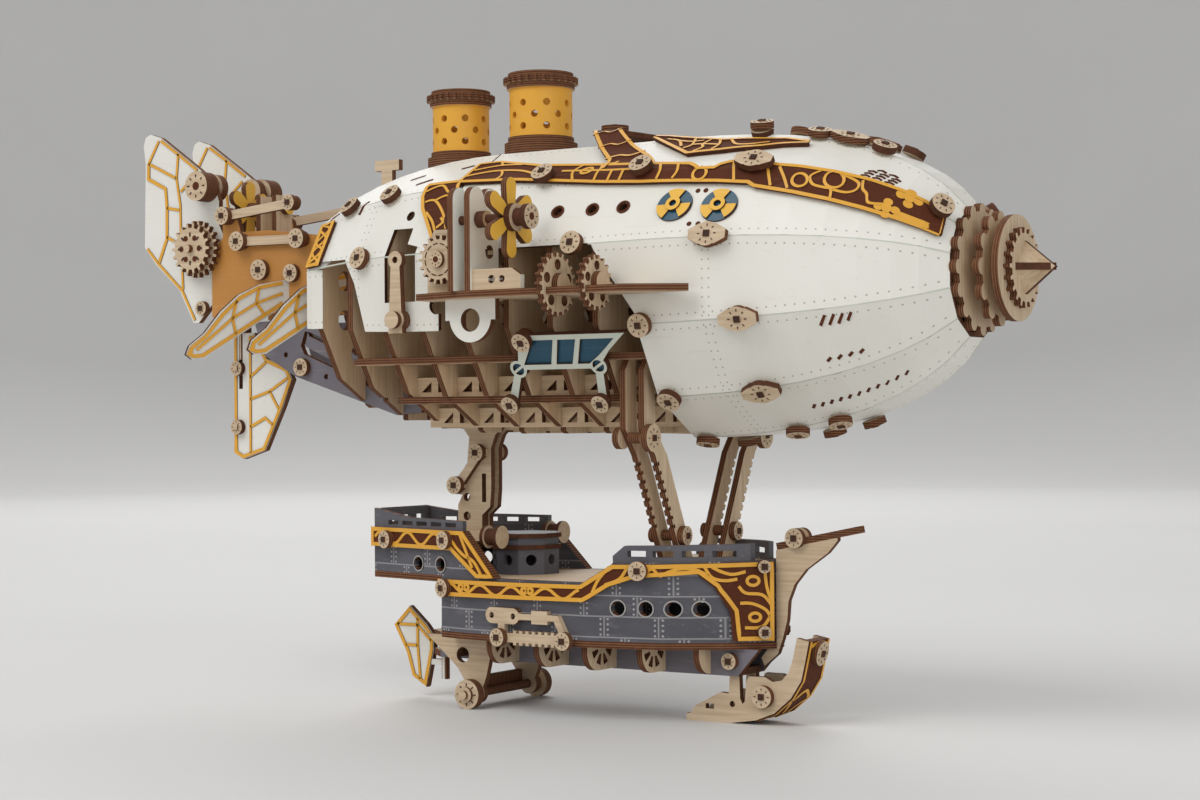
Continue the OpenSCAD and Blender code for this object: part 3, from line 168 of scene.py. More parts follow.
def skinFace(name):
    mat, tree, shader, place = startFinish(name, 0.46, 0.45)
    x, y, z = split(tree, place)
    ahead = calc(tree, "MAXIMUM", calc(tree, "SUBTRACT", x, skin["bend"]), 0.0)
    rise = calc(tree, "MULTIPLY", ahead, skin["rise"])
    up = calc(tree, "SUBTRACT", calc(tree, "SUBTRACT", z, skin["axis"]), rise)
    out = calc(tree, "ABSOLUTE", y)
    angle = calc(tree, "ARCTAN2", up, out)
    radius = reach(tree, up, out)
    fromRidge = calc(tree, "PINGPONG", calc(tree, "SUBTRACT", angle, halfPanel), halfPanel)
    off = calc(tree, "MULTIPLY", fromRidge, radius)
    alongX = calc(tree, "PINGPONG", x, skin["step"])
    rowOff = calc(tree, "SUBTRACT", off, skin["row"])
    dots = calc(tree, "LESS_THAN", reach(tree, rowOff, alongX), skin["dot"])
    around = calc(tree, "PINGPONG", calc(tree, "MULTIPLY", angle, radius), skin["step"])
    for at in skin["rings"] + skin["aftRings"]:
        gap = calc(tree, "SUBTRACT", x, at)
        ring = calc(tree, "LESS_THAN", reach(tree, gap, around), skin["dot"])
        dots = calc(tree, "MAXIMUM", dots, ring)
    broad = noise(tree, place, (26.0, 26.0, 26.0), 3.0)
    fine = noise(tree, place, grainWays["x"], 4.0)
    patches = calc(tree, "MULTIPLY_ADD", broad, 1.3, -0.2)
    base = mixTone(tree, patches, tone(222, 219, 208), tone(239, 237, 230))
    base = mixTone(tree, flecks(tree, fine, 0.66, 0.10), base, tone(196, 176, 148))
    colour = mixTone(tree, calc(tree, "MULTIPLY", dots, 0.6), base, tone(132, 120, 106))
    tree.links.new(colour, shader.inputs["Base Color"])
    addBump(tree, shader, calc(tree, "MULTIPLY_ADD", dots, -0.6, fine), 0.10)
    return mat


# boat sides: slate print with pale plank lines, butt joints and rivets
planks = {"low": 0.0252, "wide": 0.00305, "line": 0.00022, "butt": 0.0083, "stagger": 0.77, "rivet": 0.00034,
          "rivetIn": 0.0011}


def plankFace(name):
    mat, tree, shader, place = startFinish(name, 0.52, 0.4)
    x, y, z = split(tree, place)
    rise = calc(tree, "SUBTRACT", z, planks["low"])
    toLine = calc(tree, "PINGPONG", rise, planks["wide"])
    line = calc(tree, "LESS_THAN", toLine, planks["line"])
    course = calc(tree, "FLOOR", calc(tree, "DIVIDE", rise, 2 * planks["wide"]))
    staggered = calc(tree, "MULTIPLY_ADD", course, planks["butt"] * planks["stagger"], x)
    toButt = calc(tree, "PINGPONG", staggered, planks["butt"])
    butt = calc(tree, "LESS_THAN", toButt, planks["line"])
    rivetX = calc(tree, "SUBTRACT", toButt, planks["rivetIn"])
    rivetZ = calc(tree, "SUBTRACT", calc(tree, "PINGPONG", rise, planks["wide"] / 2), planks["wide"] / 4)
    rivet = calc(tree, "LESS_THAN", reach(tree, rivetX, rivetZ), planks["rivet"])
    lines = calc(tree, "MULTIPLY", calc(tree, "MAXIMUM", line, butt), 0.55)
    marks = calc(tree, "MAXIMUM", lines, calc(tree, "MULTIPLY", rivet, 0.8))
    fine = noise(tree, place, grainWays["x"], 4.0)
    broad = noise(tree, place, (40.0, 40.0, 90.0), 3.0)
    patches = calc(tree, "MULTIPLY_ADD", broad, 1.5, -0.3)
    base = mixTone(tree, patches, tone(70, 69, 75), tone(100, 99, 106))
    base = mixTone(tree, flecks(tree, fine, 0.62, 0.18), base, tone(132, 128, 128))
    tree.links.new(mixTone(tree, marks, base, tone(172, 170, 170)), shader.inputs["Base Color"])
    addBump(tree, shader, calc(tree, "MULTIPLY_ADD", marks, -0.5, fine), 0.12)
    return mat


plyLight, plyDark = tone(214, 192, 163), tone(184, 158, 126)
# lighter copy of the ply for the inner frames: painted light, standing in for the light bounced up under the
# belly
bounceLitPlyLight, bounceLitPlyDark = tone(226, 203, 172), tone(200, 172, 138)
finishes = {
    "ply": (woodFace("bareBirchX", plyLight, plyDark, "x"), woodFace("bareBirchZ", plyLight, plyDark, "z")),
    # the inner frames' lighter ply is painted bounce light
    "inner": (woodFace("bounceLitBirchX", bounceLitPlyLight, bounceLitPlyDark, "x"),
              woodFace("bounceLitBirchZ", bounceLitPlyLight, bounceLitPlyDark, "z")),
    "skin": (skinFace("whiteSkin"),) * 2,
    "white": (printedFace("whitePrint", tone(236, 234, 226)),) * 2,
    "plank": (plankFace("slatePlanks"),) * 2,
    "slate": (printedFace("slatePrint", tone(96, 95, 101), shade=0.75),) * 2,
    "grey": (printedFace("greyPrint", tone(122, 118, 126), shade=0.8),) * 2,
    "gold": (printedFace("goldPrint", tone(233, 171, 58), shade=0.86),) * 2,
    "yellow": (printedFace("yellowPrint", tone(240, 186, 66), shade=0.86),) * 2,
    "field": (printedFace("brownField", tone(94, 49, 29), shade=0.68, worn=0.03, rough=0.7, gloss=0.15),) * 2,
    "orange": (printedFace("orangePrint", tone(198, 138, 68), shade=0.82),) * 2,
    "pane": (printedFace("bluePane", tone(20, 76, 98), shade=0.8, rough=0.3, worn=0.02),) * 2,
    "frame": (printedFace("paleFrame", tone(204, 208, 194)),) * 2,
    "line": (printedFace("paleLine", tone(168, 166, 164)),) * 2,
}
edges = [burntEdge("burntEdge" + n, a) for n, a in (("X", 0), ("Y", 1), ("Z", 2), ("Plain", None))]
plainEdge = edges[3]
pegEnd = woodFace("pegEnd", tone(70, 44, 30), tone(48, 28, 20), "x", 0.8)
print("finishes made")

nodeFinish = {
    "envelope_front": "skin", "envelope_top": "skin", "rear_cowl": "skin",
    "stabilisers": "white", "boat_rudder": "white", "lower_rudder": "white", "tail_fins": "white",
    "engine_brackets": "white", "window_panels": "frame",
    "hull_side_right": "plank", "hull_side_left": "plank", "castle_sides": "plank",
    "boat_floor": "slate", "cabin": "slate", "deck_rails": "slate",
    "boat_keel_box": "grey", "tail_keel_plates": "grey",
    "hull_trim": "field", "ornament_bands": "field",
    "propeller_right": "yellow", "propeller_left": "yellow", "tail_propeller": "yellow",
    "chimney_tubes": "gold", "tail_side_plates": "orange",
    # the inner frames take the lighter copy of the ply, painted bounce light
    "ribs": "inner", "keel_plate": "inner", "keel_shelves": "inner", "hull_ribs": "inner",
    "tail_frames": "inner", "rudder_bearings": "inner",
}
bentNodes = {"hull_side_right", "hull_side_left", "castle_sides", "hull_trim", "deck_rails", "side_linkages"}
roundNodes = {"envelope_front", "envelope_top", "rear_cowl", "ornament_bands"}
cabinSize = {"at": -0.0124, "wall": 0.0105, "cogs": 0.0125}
engineSize = {"outer": 0.059, "inner": 0.045, "near": 0.0003, "hanger": 0.1245}
propellerSize = {"front": 0.0225, "back": 0.0195}
rudderSkin = 0.00105
paneLong = 0.02
pegSize = {"level": 2e-5, "least": 1e-6, "most": 6e-6, "sunk": 0.0005, "widest": 0.0036}
facing = {"square": 0.95, "straight": 0.9, "bent": 0.5, "round": 0.55}  # how far a face may lean
coneEdge = {"thin": 0.05, "front": 0.1}
weldSteps = 2e5  # steps in a metre, points on the same step are one
upLayers, noLayers = 2, 3  # places in the list of edges
slotOf = {"layers": 2, "edge": 5, "peg": 6, "pane": 7, "bare": 8}  # places in each node's list of finishes
buttons = []  # centre, outward direction and radius of each pegged button, in metres


def looseParts(mesh):  # which solid each face is part of, and each face's middle
    co = np.empty(len(mesh.vertices) * 3, np.float32)
    mesh.vertices.foreach_get("co", co)
    key = np.round(co.reshape(-1, 3) * weldSteps).astype(np.int64)
    point = np.unique(key, axis=0, return_inverse=True)[1].reshape(-1)
    corner = np.empty(len(mesh.loops), np.int32)
    mesh.loops.foreach_get("vertex_index", corner)
    tri = point[corner].reshape(-1, 3)
    label = np.arange(point.max() + 1)
    while True:
        low = label[tri].min(1)
        new = label.copy()
        np.minimum.at(new, tri.ravel(), np.repeat(low, 3))
        new = new[new]
        if (new == label).all():
            return label[tri[:, 0]], co.reshape(-1, 3)[corner].reshape(-1, 3, 3).mean(1)
        label = new


def findPeg(main, flat, middle, normal, area):  # raised end of a button's peg, noted for its marks
    height = middle @ main
    for s in (1, -1):
        top = flat & (np.abs(height * s - (height * s)[flat].max()) < pegSize["level"])
        if pegSize["least"] < area[top].sum() < pegSize["most"]:
            rim = (normal @ main * s > facing["square"]) & ~top
            radius = math.sqrt((area[rim].sum() + area[top].sum()) / math.pi)
            centre = (middle[top] * area[top][:, None]).sum(0) / area[top].sum()
            outward = Vector(main * s)
            buttons.append((Vector(centre) - outward * pegSize["sunk"],
                            outward, min(radius, pegSize["widest"])))
            return top
    return None


def ownRules(name, index, middle, normal):  # nodes with more than one finish
    bareX = np.where(np.abs(normal[:, 0]) > facing["square"], slotOf["bare"], slotOf["edge"])
    bareY = np.where(np.abs(normal[:, 1]) > facing["square"], slotOf["bare"], slotOf["edge"])
    if name == "engine_brackets":  # uprights and hangers are white, the plates between them bare
        out = np.abs(middle[:, 1])
        ends = [np.abs(out - engineSize[end]) > engineSize["near"] for end in ("outer", "inner")]
        plate = (np.abs(normal[:, 1]) > facing["square"]) & ends[0] & ends[1]
        hanger = middle[:, 2] < engineSize["hanger"]
        return np.where(plate, np.where(hanger, 0, slotOf["bare"]), index)
    if name == "chimney_tubes":
        return np.zeros_like(index)
    if name == "cabin":
        away = np.hypot(middle[:, 0] - cabinSize["at"], middle[:, 1])
        cogs = np.where(away < cabinSize["cogs"], slotOf["edge"], bareX)
        return np.where(away < cabinSize["wall"], 0, cogs)
    if name == "nose_cone":
        thin = (np.abs(normal[:, 1]) < coneEdge["thin"]) ^ (np.abs(normal[:, 2]) < coneEdge["thin"])
        return np.where(thin & (normal[:, 0] > coneEdge["front"]), slotOf["edge"], 0)
    if name in ("propeller_right", "propeller_left"):
        hub = (middle[:, 0] > propellerSize["front"]) | (middle[:, 0] < propellerSize["back"])
        return np.where(hub, bareX, index)
    if name == "lower_rudder":
        return np.where(np.abs(middle[:, 1]) > rudderSkin, bareY, index)
    return index


def dressNode(name, obj):  # finish on the faces, burnt edges on the cuts
    kind = nodeFinish.get(name, "ply")
    mesh = obj.data
    count = len(mesh.polygons)
    part, middle = looseParts(mesh)
    normal = np.empty(count * 3, np.float32)
    mesh.polygons.foreach_get("normal", normal)
    normal = normal.reshape(-1, 3)
    area = np.empty(count, np.float32)
    mesh.polygons.foreach_get("area", area)
    mesh.materials.clear()
    for mat in finishes[kind] + tuple(edges) + (pegEnd, finishes["pane"][0], finishes["ply"][0]):
        mesh.materials.append(mat)
    index = np.zeros(count, np.int32)
    for p in np.unique(part):
        mine = np.where(part == p)[0]
        n, a = normal[mine], area[mine]
        # faces that look opposite ways count as one direction
        side = np.where(n[:, 0] + 1e-3 * n[:, 1] + 1e-6 * n[:, 2] < -1e-4, -1, 1)[:, None]
        keys, back = np.unique(np.round(n * side, 2), axis=0, return_inverse=True)
        main = keys[np.bincount(back.reshape(-1), a).argmax()]
        main = main / np.linalg.norm(main)
        axis = int(np.abs(main).argmax())
        if name in bentNodes:
            flat = np.abs(n[:, 2]) < facing["bent"]
            level = upLayers
        elif name in roundNodes:
            radial = middle[mine] * (0, 1, 1) - (0, 0, skin["axis"])
            radial /= np.linalg.norm(radial, axis=1)[:, None]
            flat = np.abs((n * radial).sum(1)) > facing["round"]
            level = noLayers
        else:
            flat = np.abs(n @ main) > facing["square"]
            level = axis if np.abs(main[axis]) > facing["straight"] else noLayers
        index[mine] = np.where(flat, 1 if axis == 0 else 0, slotOf["layers"] + level)
        if "buttons" in name or "diamonds" in name:
            top = findPeg(main, flat, middle[mine], n, a)
            if top is not None:
                index[mine[top]] = slotOf["peg"]
        if name == "window_panels" and np.ptp(middle[mine][:, 0]) < paneLong:
            index[mine] = slotOf["pane"]
    index = ownRules(name, index, middle, normal)
    mesh.polygons.foreach_set("material_index", index.astype(np.int32))
    mesh.update()


for name, obj in nodes.items():
    dressNode(name, obj)
print("plates dressed, pegged buttons:", len(buttons))

# the envelope and the boat as the plates shape them, in millimetres
envelope = {"radius": 45.5, "height": 127.0, "rise": 1.5, "bow": 40.0, "bowLong": 106.0, "stern": -10.0,
            "sternLong": 98.0, "nose": 140.0,
            "stations": (-72, -62, -52, -42, -32, -22, -12.6, -10, 40, 49, 58, 66, 78, 90, 101, 111, 120,
                         128, 134, 140)}
tailFin = {"outer": 13, "inner": 11}
boatPlan = ((-62, 13.4), (-20, 24), (5, 26.5), (28, 26.5), (50, 22), (66, 12.5), (77, 2.2))


def ridgeRadius(x):
    if x > envelope["bow"]:
        return envelope["radius"] * math.sqrt(1 - ((x - envelope["bow"]) / envelope["bowLong"]) ** 3)
    back = max(0, envelope["stern"] - x) / envelope["sternLong"]
    return envelope["radius"] * math.sqrt(1 - back ** 2)


ridgeRadii = [ridgeRadius(x) for x in envelope["stations"]]


def onSkin(x, angle, lift=0.0):  # angle in degrees up from starboard
    turn = math.radians(angle)
    face = math.radians(angle - 30 * round(angle / 30))
    flat = float(np.interp(x, envelope["stations"], ridgeRadii)) * math.cos(halfPanel)
    radius = flat / math.cos(face) + lift
    rise = envelope["rise"] * max(0, x - envelope["bow"]) / (envelope["nose"] - envelope["bow"])
    return Vector((x, -radius * math.cos(turn), envelope["height"] + rise + radius * math.sin(turn)))


def patchOn(x, angle):  # flat millimetre patch of the skin round a point
    perMm = math.degrees(1 / ridgeRadius(x))
    return lambda u, v, lift=0.0: onSkin(x + u, angle + v * perMm, lift)


def onBoat(x, z, lift=0.0):
    last = len(boatPlan) - 2
    k = min(last, max(0, int(np.searchsorted([p[0] for p in boatPlan], x)) - 1))
    (x0, y0), (x1, y1) = boatPlan[k], boatPlan[k + 1]
    long = math.hypot(x1 - x0, y1 - y0)
    y = y0 + (y1 - y0) * (x - x0) / (x1 - x0)
    return Vector((x - lift * (y1 - y0) / long, -y - lift * (x1 - x0) / long, z))


def onPlate(y, way):  # upright plate along the airship, way is the side it is seen from
    return lambda x, z, lift=0.0: Vector((x, y + way * lift, z))


def onLeaf(x, z, way):  # stabiliser, a plate turned 30 degrees
    c, s = math.cos(math.radians(30)), math.sin(math.radians(30))

    def leaf(u, v, lift=0.0):
        out = way * (1 + lift)
        return Vector((x + out * c + u * s, u * c - out * s - tailFin["outer"], z + v))
    return leaf


def mirrored(face):  # the same place to port
    def port(u, v, lift=0.0):
        point = face(u, v, lift)
        return Vector((point.x, -point.y, point.z))
    return port


def both(face):
    return (face, mirrored(face))


def shifted(face, du, dv):
    return lambda u, v, lift=0.0: face(u + du, v + dv, lift)


def flip(patch, face):  # the patch on the side that the face belongs to
    return patch if face is onSkin else mirrored(patch)


def straight(points, step=2.5):  # points added along a line so that it follows what it lies on
    line = [points[0]]
    for a, b in zip(points, points[1:]):
        count = max(1, math.ceil(math.hypot(b[0] - a[0], b[1] - a[1]) / step))
        for i in range(1, count + 1):
            line.append((a[0] + (b[0] - a[0]) * i / count, a[1] + (b[1] - a[1]) * i / count))
    return line


def smooth(points, count=5):  # rounded line through the points
    ends = [points[0]] + list(points) + [points[-1]]
    line = []
    for a, b, c, d in zip(ends, ends[1:], ends[2:], ends[3:]):
        for i in range(count):
            t = i / count
            line.append(tuple(0.5 * (2 * q + (r - p) * t + (2 * p - 5 * q + 4 * r - s) * t ** 2
                                     + (3 * q - p - 3 * r + s) * t ** 3) for p, q, r, s in zip(a, b, c, d)))
    return line + [points[-1]]


def ringLine(u, v, radius, start=0.0, sweep=360.0, count=16):
    turns = [math.radians(start + sweep * i / count) for i in range(count + 1)]
    return [(u + radius * math.cos(a), v + radius * math.sin(a)) for a in turns]


def waveLine(start, end, middle, swing, length, count=10):
    steps = round((end - start) / length * count)
    along = [start + (end - start) * i / steps for i in range(steps + 1)]
    return [(x, middle + swing * math.sin(2 * math.pi * (x - start) / length)) for x in along]


def layStrip(rows, outward):  # sheet of points, set down on what carries it
    cross = (rows[0][1] - rows[0][0]).cross(rows[1][0] - rows[0][0])
    if cross.dot(outward) < 0:
        rows = [row[::-1] for row in rows]
    bpy.ops.object.select_all(action="DESELECT")
    bpy.ops.mesh.primitive_grid_add(x_subdivisions=len(rows[0]) - 1, y_subdivisions=len(rows) - 1, size=1)
    strip = bpy.context.object
    corners = sorted(strip.data.vertices, key=lambda v: (round(v.co.y, 4), round(v.co.x, 4)))
    for corner, point in zip(corners, [p for row in rows for p in row]):
        corner.co = point / 1000
    return strip


def layRibbon(face, line, wide, lift):  # narrow strip along a line
    points = [face(u, v, lift) for u, v in line]
    closed = (points[0] - points[-1]).length < 0.01
    last = len(points) - 1
    rows = []
    for i, (u, v) in enumerate(line):
        before = points[i - 1] if i else points[-2 if closed else 0]
        after = points[i + 1] if i < last else points[1 if closed else last]
        along = (after - before).normalized()
        step = (after - points[i]) if i < last else (points[i] - before)
        out = (face(u, v, lift + 1) - points[i]).normalized()
        corner = max(0.6, along.dot(step.normalized()))
        side = along.cross(out).normalized() * (wide / 2 / corner)
        rows.append([points[i] - side, points[i] + side])
    return layStrip(rows, out)


def layDisc(face, radius, lift):  # round sheet about the middle of a patch
    bpy.ops.object.select_all(action="DESELECT")
    bpy.ops.mesh.primitive_circle_add(vertices=32, radius=1, fill_type="TRIFAN")
    disc = bpy.context.object
    for corner in disc.data.vertices:
        corner.co = face(corner.co.x * radius, corner.co.y * radius, lift) / 1000
    if disc.data.polygons[0].normal.dot(face(0, 0, lift + 1) - face(0, 0, lift)) < 0:
        disc.data.flip_normals()
    return disc


# the strips joined, given their thickness and finish, and set on a body
def finishPlates(name, strips, thick, finish, body="airframe", rim=None):
    bpy.ops.object.select_all(action="DESELECT")
    for strip in strips:
        strip.select_set(True)
    bpy.context.view_layer.objects.active = strips[0]
    if len(strips) > 1:
        bpy.ops.object.join()
    piece = bpy.context.object
    piece.name = name
    piece.data.name = name
    bpy.ops.object.mode_set(mode="EDIT")
    bpy.ops.mesh.select_all(action="SELECT")
    bpy.ops.mesh.remove_doubles(threshold=1e-6)
    bpy.ops.object.mode_set(mode="OBJECT")
    piece.data.materials.append(finishes[finish][0])
    piece.data.materials.append(rim or plainEdge)
    wall = piece.modifiers.new("thickness", "SOLIDIFY")
    wall.thickness = thick / 1000
    wall.offset = 1
    wall.material_offset_rim = 1
    bpy.ops.object.modifier_apply(modifier="thickness")
    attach(piece, body)
    return piece


# ornament bands of the envelope: places are a station and an angle
band = {"from": -13.5, "to": 137.6, "step": 2.5, "lift": 0.1, "thick": 1.2, "gold": 0.35, "line": 1.15,
        "fine": 0.85, "ring": 0.9, "inset": 0.6, "collarInset": 0.7, "sunk": 0.05, "endHigh": 41.8,
        "low": ((-13.5, 46.5), (9.7, 44.6), (39, 40.9), (52.9, 39.4), (87.6, 37.3), (89.6, 35.7), (113, 31.5),
                (137.6, 26.5)),
        "high": ((-13.5, 62), (-6, 62.6), (11.7, 55.7), (31, 52.4), (54.3, 48.5), (67.6, 46.3), (71, 43.6),
                 (76, 43.6), (81, 47.5), (95.3, 45.6), (111, 45.2), (135, 45), (139, 40)),
        "saddle": ((48.5, 46, 9.3), (54, 44.4, 7.3), (63.3, 36.3, 6), (73.5, 28.5, 5), (90, 19, 4.5)),
        "saddleLift": ((48, 0.05), (54, 0.3), (63.3, 1.2), (73.5, 3), (90, 4.5)),
        "topLow": ((44, 74), (62.5, 55.8), (72.3, 57.5), (84.3, 60.6), (97, 66)),
        "topHigh": ((44, 75), (49.3, 73.5), (56, 70.8), (61.6, 68.9), (70, 66.6), (82, 66.9), (90, 67.6),
                    (97, 67)),
        "rungs": (57.5, 66, 74, 82),
        "collar": (-71.4, -64.6, 16.0, 41.0),
        "cornerLeft": ((21.7, -16.2), (35, -23.6), (41, -25.5), (47, -25.2)),
        "cornerRight": ((21.7, -9.6), (40, -12.4), (47, -13))}
saddleTurns = [48 + 42 * i / 18 for i in range(19)]
topStations = [44 + 53 * i / 23 for i in range(24)]


def bandEdge(edge, x):
    return float(np.interp(x, [p[0] for p in edge], [p[1] for p in edge]))


def acrossBand(low, high, ridge=45.0):
    if low < ridge < high:
        return (low, (low + ridge) / 2, ridge, (ridge + high) / 2, high)
    return tuple(low + (high - low) * i / 4 for i in range(5))


def onSaddle(face):
    return lambda x, a, lift=0.0: face(x, a, lift + bandEdge(band["saddleLift"], a))


def saddleAt(a):  # middle and half width of the saddle at an angle
    return bandEdge([p[:2] for p in band["saddle"]], a), bandEdge([p[::2] for p in band["saddle"]], a)


def bandFields(face):
    count = round((band["to"] - band["from"]) / band["step"])
    stations = [band["from"] + (band["to"] - band["from"]) * i / count for i in range(count + 1)]
    up = face(0, 60, 1) - face(0, 60, 0)
    lift = band["lift"]
    rows = []
    for x in stations:
        low, high = bandEdge(band["low"], x), bandEdge(band["high"], x)
        rows.append([face(x, a, lift) for a in acrossBand(low, high)])
    strips = [layStrip(rows, up)]
    rows = []
    for a in saddleTurns:
        mid, half = saddleAt(a)
        rows.append([onSaddle(face)(mid + half * w, a, lift) for w in (-1, -0.5, 0, 0.5, 1)])
    strips.append(layStrip(rows, up))
    rows = []
    for x in topStations:
        low, high = bandEdge(band["topLow"], x), bandEdge(band["topHigh"], x)
        rows.append([face(x, a, lift) for a in acrossBand(low, high, 75.0)])
    strips.append(layStrip(rows, up))
    x0, x1, a0, a1 = band["collar"]
    across = (x0, (x0 + x1) / 2, x1)
    strips.append(layStrip([[face(x, a0 + (a1 - a0) * i / 8, lift) for x in across] for i in range(9)], up))
    rows = []
    low, high = band["cornerLeft"][0][0], band["cornerLeft"][-1][0]
    for i in range(11):
        a = low + (high - low) * i / 10
        left, right = bandEdge(band["cornerLeft"], a), bandEdge(band["cornerRight"], a)
        rows.append([face(left + (right - left) * k / 3, a, lift) for k in range(4)])
    strips.append(layStrip(rows, up))
    return strips


bandPlate = finishPlates("ornamentBand", [s for face in both(onSkin) for s in bandFields(face)],
                         band["thick"], "field")
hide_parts("ornament_bands")

# gold lines on the bands, drawn through the points that their scrolls need
vines = (((57.5, 47.2), (58.6, 44), (58.2, 40)), ((63.8, 46.5), (64.4, 43), (63.4, 39.8)),
         ((81.3, 47), (83.2, 38)), ((92, 44.5), (94.4, 36)), ((95.5, 44.5), (97.8, 39.5), (99.4, 35.2)),
         ((107.3, 44.6), (104.8, 41.5), (106, 38), (109.4, 37), (111.1, 36.6), (111.5, 32.4)),
         ((113.1, 44.6), (117.5, 42.3), (117.4, 38.5), (115, 36.3), (111.1, 36.6)),
         ((118.6, 44), (119, 39.8), (120.3, 37.5), (121.2, 33.4), (124.9, 34.5)),
         ((-13, 51), (-4, 53.6), (6, 52.2), (12.6, 48.6)), ((-12.6, 56), (-4, 58.6), (4.6, 57.8)),
         ((-5, 62.2), (-3.4, 58.6)), ((-1, 53.5), (1, 49), (0.4, 45.6)),
         ((23, 48.6), (33, 47.2), (49.5, 45)), ((36, 51.4), (37, 46.6), (36.6, 41.4)),
         ((42, 45.9), (41.4, 40.8)), ((46, 45.4), (45.4, 40.2)), ((29, 52.6), (27.6, 48), (29, 42.6)))
bandRings = ((71.9, 41.2, 2.1), (102.2, 39.2, 2.1), (111.3, 41.4, 2.6), (32.4, 47.2, 1.8), (39, 53.6, 1.5))
topVines = (((50, 70.6), (55, 68), (58, 62.4)), ((55, 68), (60, 66), (64, 66.4)),
            ((59.4, 60.4), (61.4, 63), (60.4, 68.6)), ((64, 57), (66, 60), (65, 63), (66.4, 67)),
            ((69.6, 58), (70.6, 62), (69.4, 66.4)), ((61.2, 63.2), (65, 63), (70.4, 62)),
            ((73, 66.4), (76, 62), (80, 61.6), (86, 64)))
bandCrosses = {"at": ((130, 42.6), (125.6, 32.6)), "middle": 1.3, "arm": 1.15, "out": 2, "raised": 0.1}
bandTongue = {"lows": (28.2, 29.4, 30.6), "from": (127.5, 1.2), "to": (136.4, -0.6), "wide": 1.1}
cornerVines = (((-23.5, 38), (-19.5, 38), (-14.5, 31.4), (-11.5, 24.5)),
               ((-21.6, 33), (-18, 28.6), (-15.6, 24)), ((-15.4, 25.2), (-13.6, 27.6), (-15, 29.8)),
               ((-24.6, 43), (-19, 44.8), (-15.5, 41.5), (-13, 42.6)),
               ((-20, 38), (-16, 40), (-12.8, 38.6)))
collarVines = (((-70.8, 18), (-65.4, 24), (-70.4, 30), (-65.4, 36), (-70, 40)),
               ((-65.4, 18), (-70.6, 24.5), (-65.6, 30.5), (-70.4, 37)))


def bandGold(face):
    top = band["lift"] + band["thick"] - band["sunk"]
    end = band["to"]
    high = [p for p in band["high"] if p[0] < end] + [(end, band["endHigh"]), band["low"][-1]]
    lines = [straight(band["low"]), straight(high), [band["low"][0], band["high"][0]]]
    lines.append(straight(list(band["topLow"]) + list(band["topHigh"][::-1])))
    inset, turn = band["inset"], band["collarInset"]
    x0, x1, a0, a1 = band["collar"]
    x0, x1, a0, a1 = x0 + inset, x1 - inset, a0 + turn, a1 - turn
    lines.append(straight([(x0, a0), (x1, a0), (x1, a1), (x0, a1), (x0, a0)]))
    corner = [(x, a) for a, x in band["cornerLeft"] + band["cornerRight"][::-1]]
    lines.append(straight(corner + corner[:1]))
    strips = [layRibbon(face, line, band["line"], top) for line in lines]
    for side in (-1, 1):
        line = [(saddleAt(a)[0] + side * (saddleAt(a)[1] - inset), a) for a in saddleTurns]
        strips.append(layRibbon(onSaddle(face), line, band["line"], top))
    for a in band["rungs"]:
        mid, half = saddleAt(a)
        rung = smooth([(mid - half + inset, a - 2), (mid - 0.3 * half, a - 0.2),
                       (mid + 0.3 * half, a - 1), (mid + half - inset, a + 1.5)])
        strips.append(layRibbon(onSaddle(face), rung, band["fine"], top))
    fine = [smooth(v) for v in vines + cornerVines + collarVines + topVines]
    strips += [layRibbon(face, line, band["fine"], top) for line in fine]
    for x, a, radius in bandRings:
        strips.append(layRibbon(flip(patchOn(x, a), face), ringLine(0, 0, radius), band["ring"], top))
    out = bandCrosses["out"]
    arms = ((out, 0), (-out, 0), (0, out), (0, -out))
    for x, a in bandCrosses["at"]:
        at = flip(patchOn(x, a), face)
        strips.append(layDisc(at, bandCrosses["middle"], top + bandCrosses["raised"]))
        strips += [layDisc(shifted(at, u, v), bandCrosses["arm"], top) for u, v in arms]
    (x0, a0), (x1, a1) = bandTongue["from"], bandTongue["to"]
    for low in bandTongue["lows"]:  # gold tongue at the nose end
        strips.append(layRibbon(face, straight([(x0, low + a0), (x1, low + a1)]), bandTongue["wide"], top))
    return strips


finishPlates("ornamentBandGold", [s for face in both(onSkin) for s in bandGold(face)], band["gold"], "gold")

# round pad under a button on each side of the top
pad = {"at": (79.5, 75), "radius": 3.1, "lift": 0.05, "thick": 1.6}
pads = [layDisc(flip(patchOn(*pad["at"]), face), pad["radius"], pad["lift"]) for face in both(onSkin)]
finishPlates("buttonPads", pads, pad["thick"], "ply")
print("ornament bands laid")

# round fans beside the band, three gold blades on a blue disc
fan = {"at": ((66.1, 29.0), (80.2, 28.1)), "radius": 5.5, "disc": 0.5, "discLift": 0.05, "turn": 62.0,
       "blade": 0.9, "bladeLift": 0.1, "bladeRings": (1.2, 2.6, 4.0, 5.3), "hub": 1.7, "hubWide": 1.2,
       "hubLift": 0.8, "hubThick": 0.7}
fanDiscs, fanBlades, fanHubs = [], [], []
for x, a in fan["at"]:
    for at in both(patchOn(x, a)):
        fanDiscs.append(layDisc(at, fan["radius"], fan["discLift"]))
        for k in range(3):
            start = math.radians(fan["turn"] + 120 * k)
            turns = [start + math.radians(60) * i / 8 for i in range(9)]
            rows = [[at(r * math.cos(t), r * math.sin(t), fan["bladeLift"]) for t in turns]
                    for r in fan["bladeRings"]]
            fanBlades.append(layStrip(rows, at(0, 0, 1) - at(0, 0, 0)))
        fanHubs.append(layRibbon(at, ringLine(0, 0, fan["hub"]), fan["hubWide"], fan["hubLift"]))
finishPlates("fanDisc", fanDiscs, fan["disc"], "pane")
finishPlates("fanBlade", fanBlades, fan["blade"], "yellow")
finishPlates("fanHub", fanHubs, fan["hubThick"], "yellow")

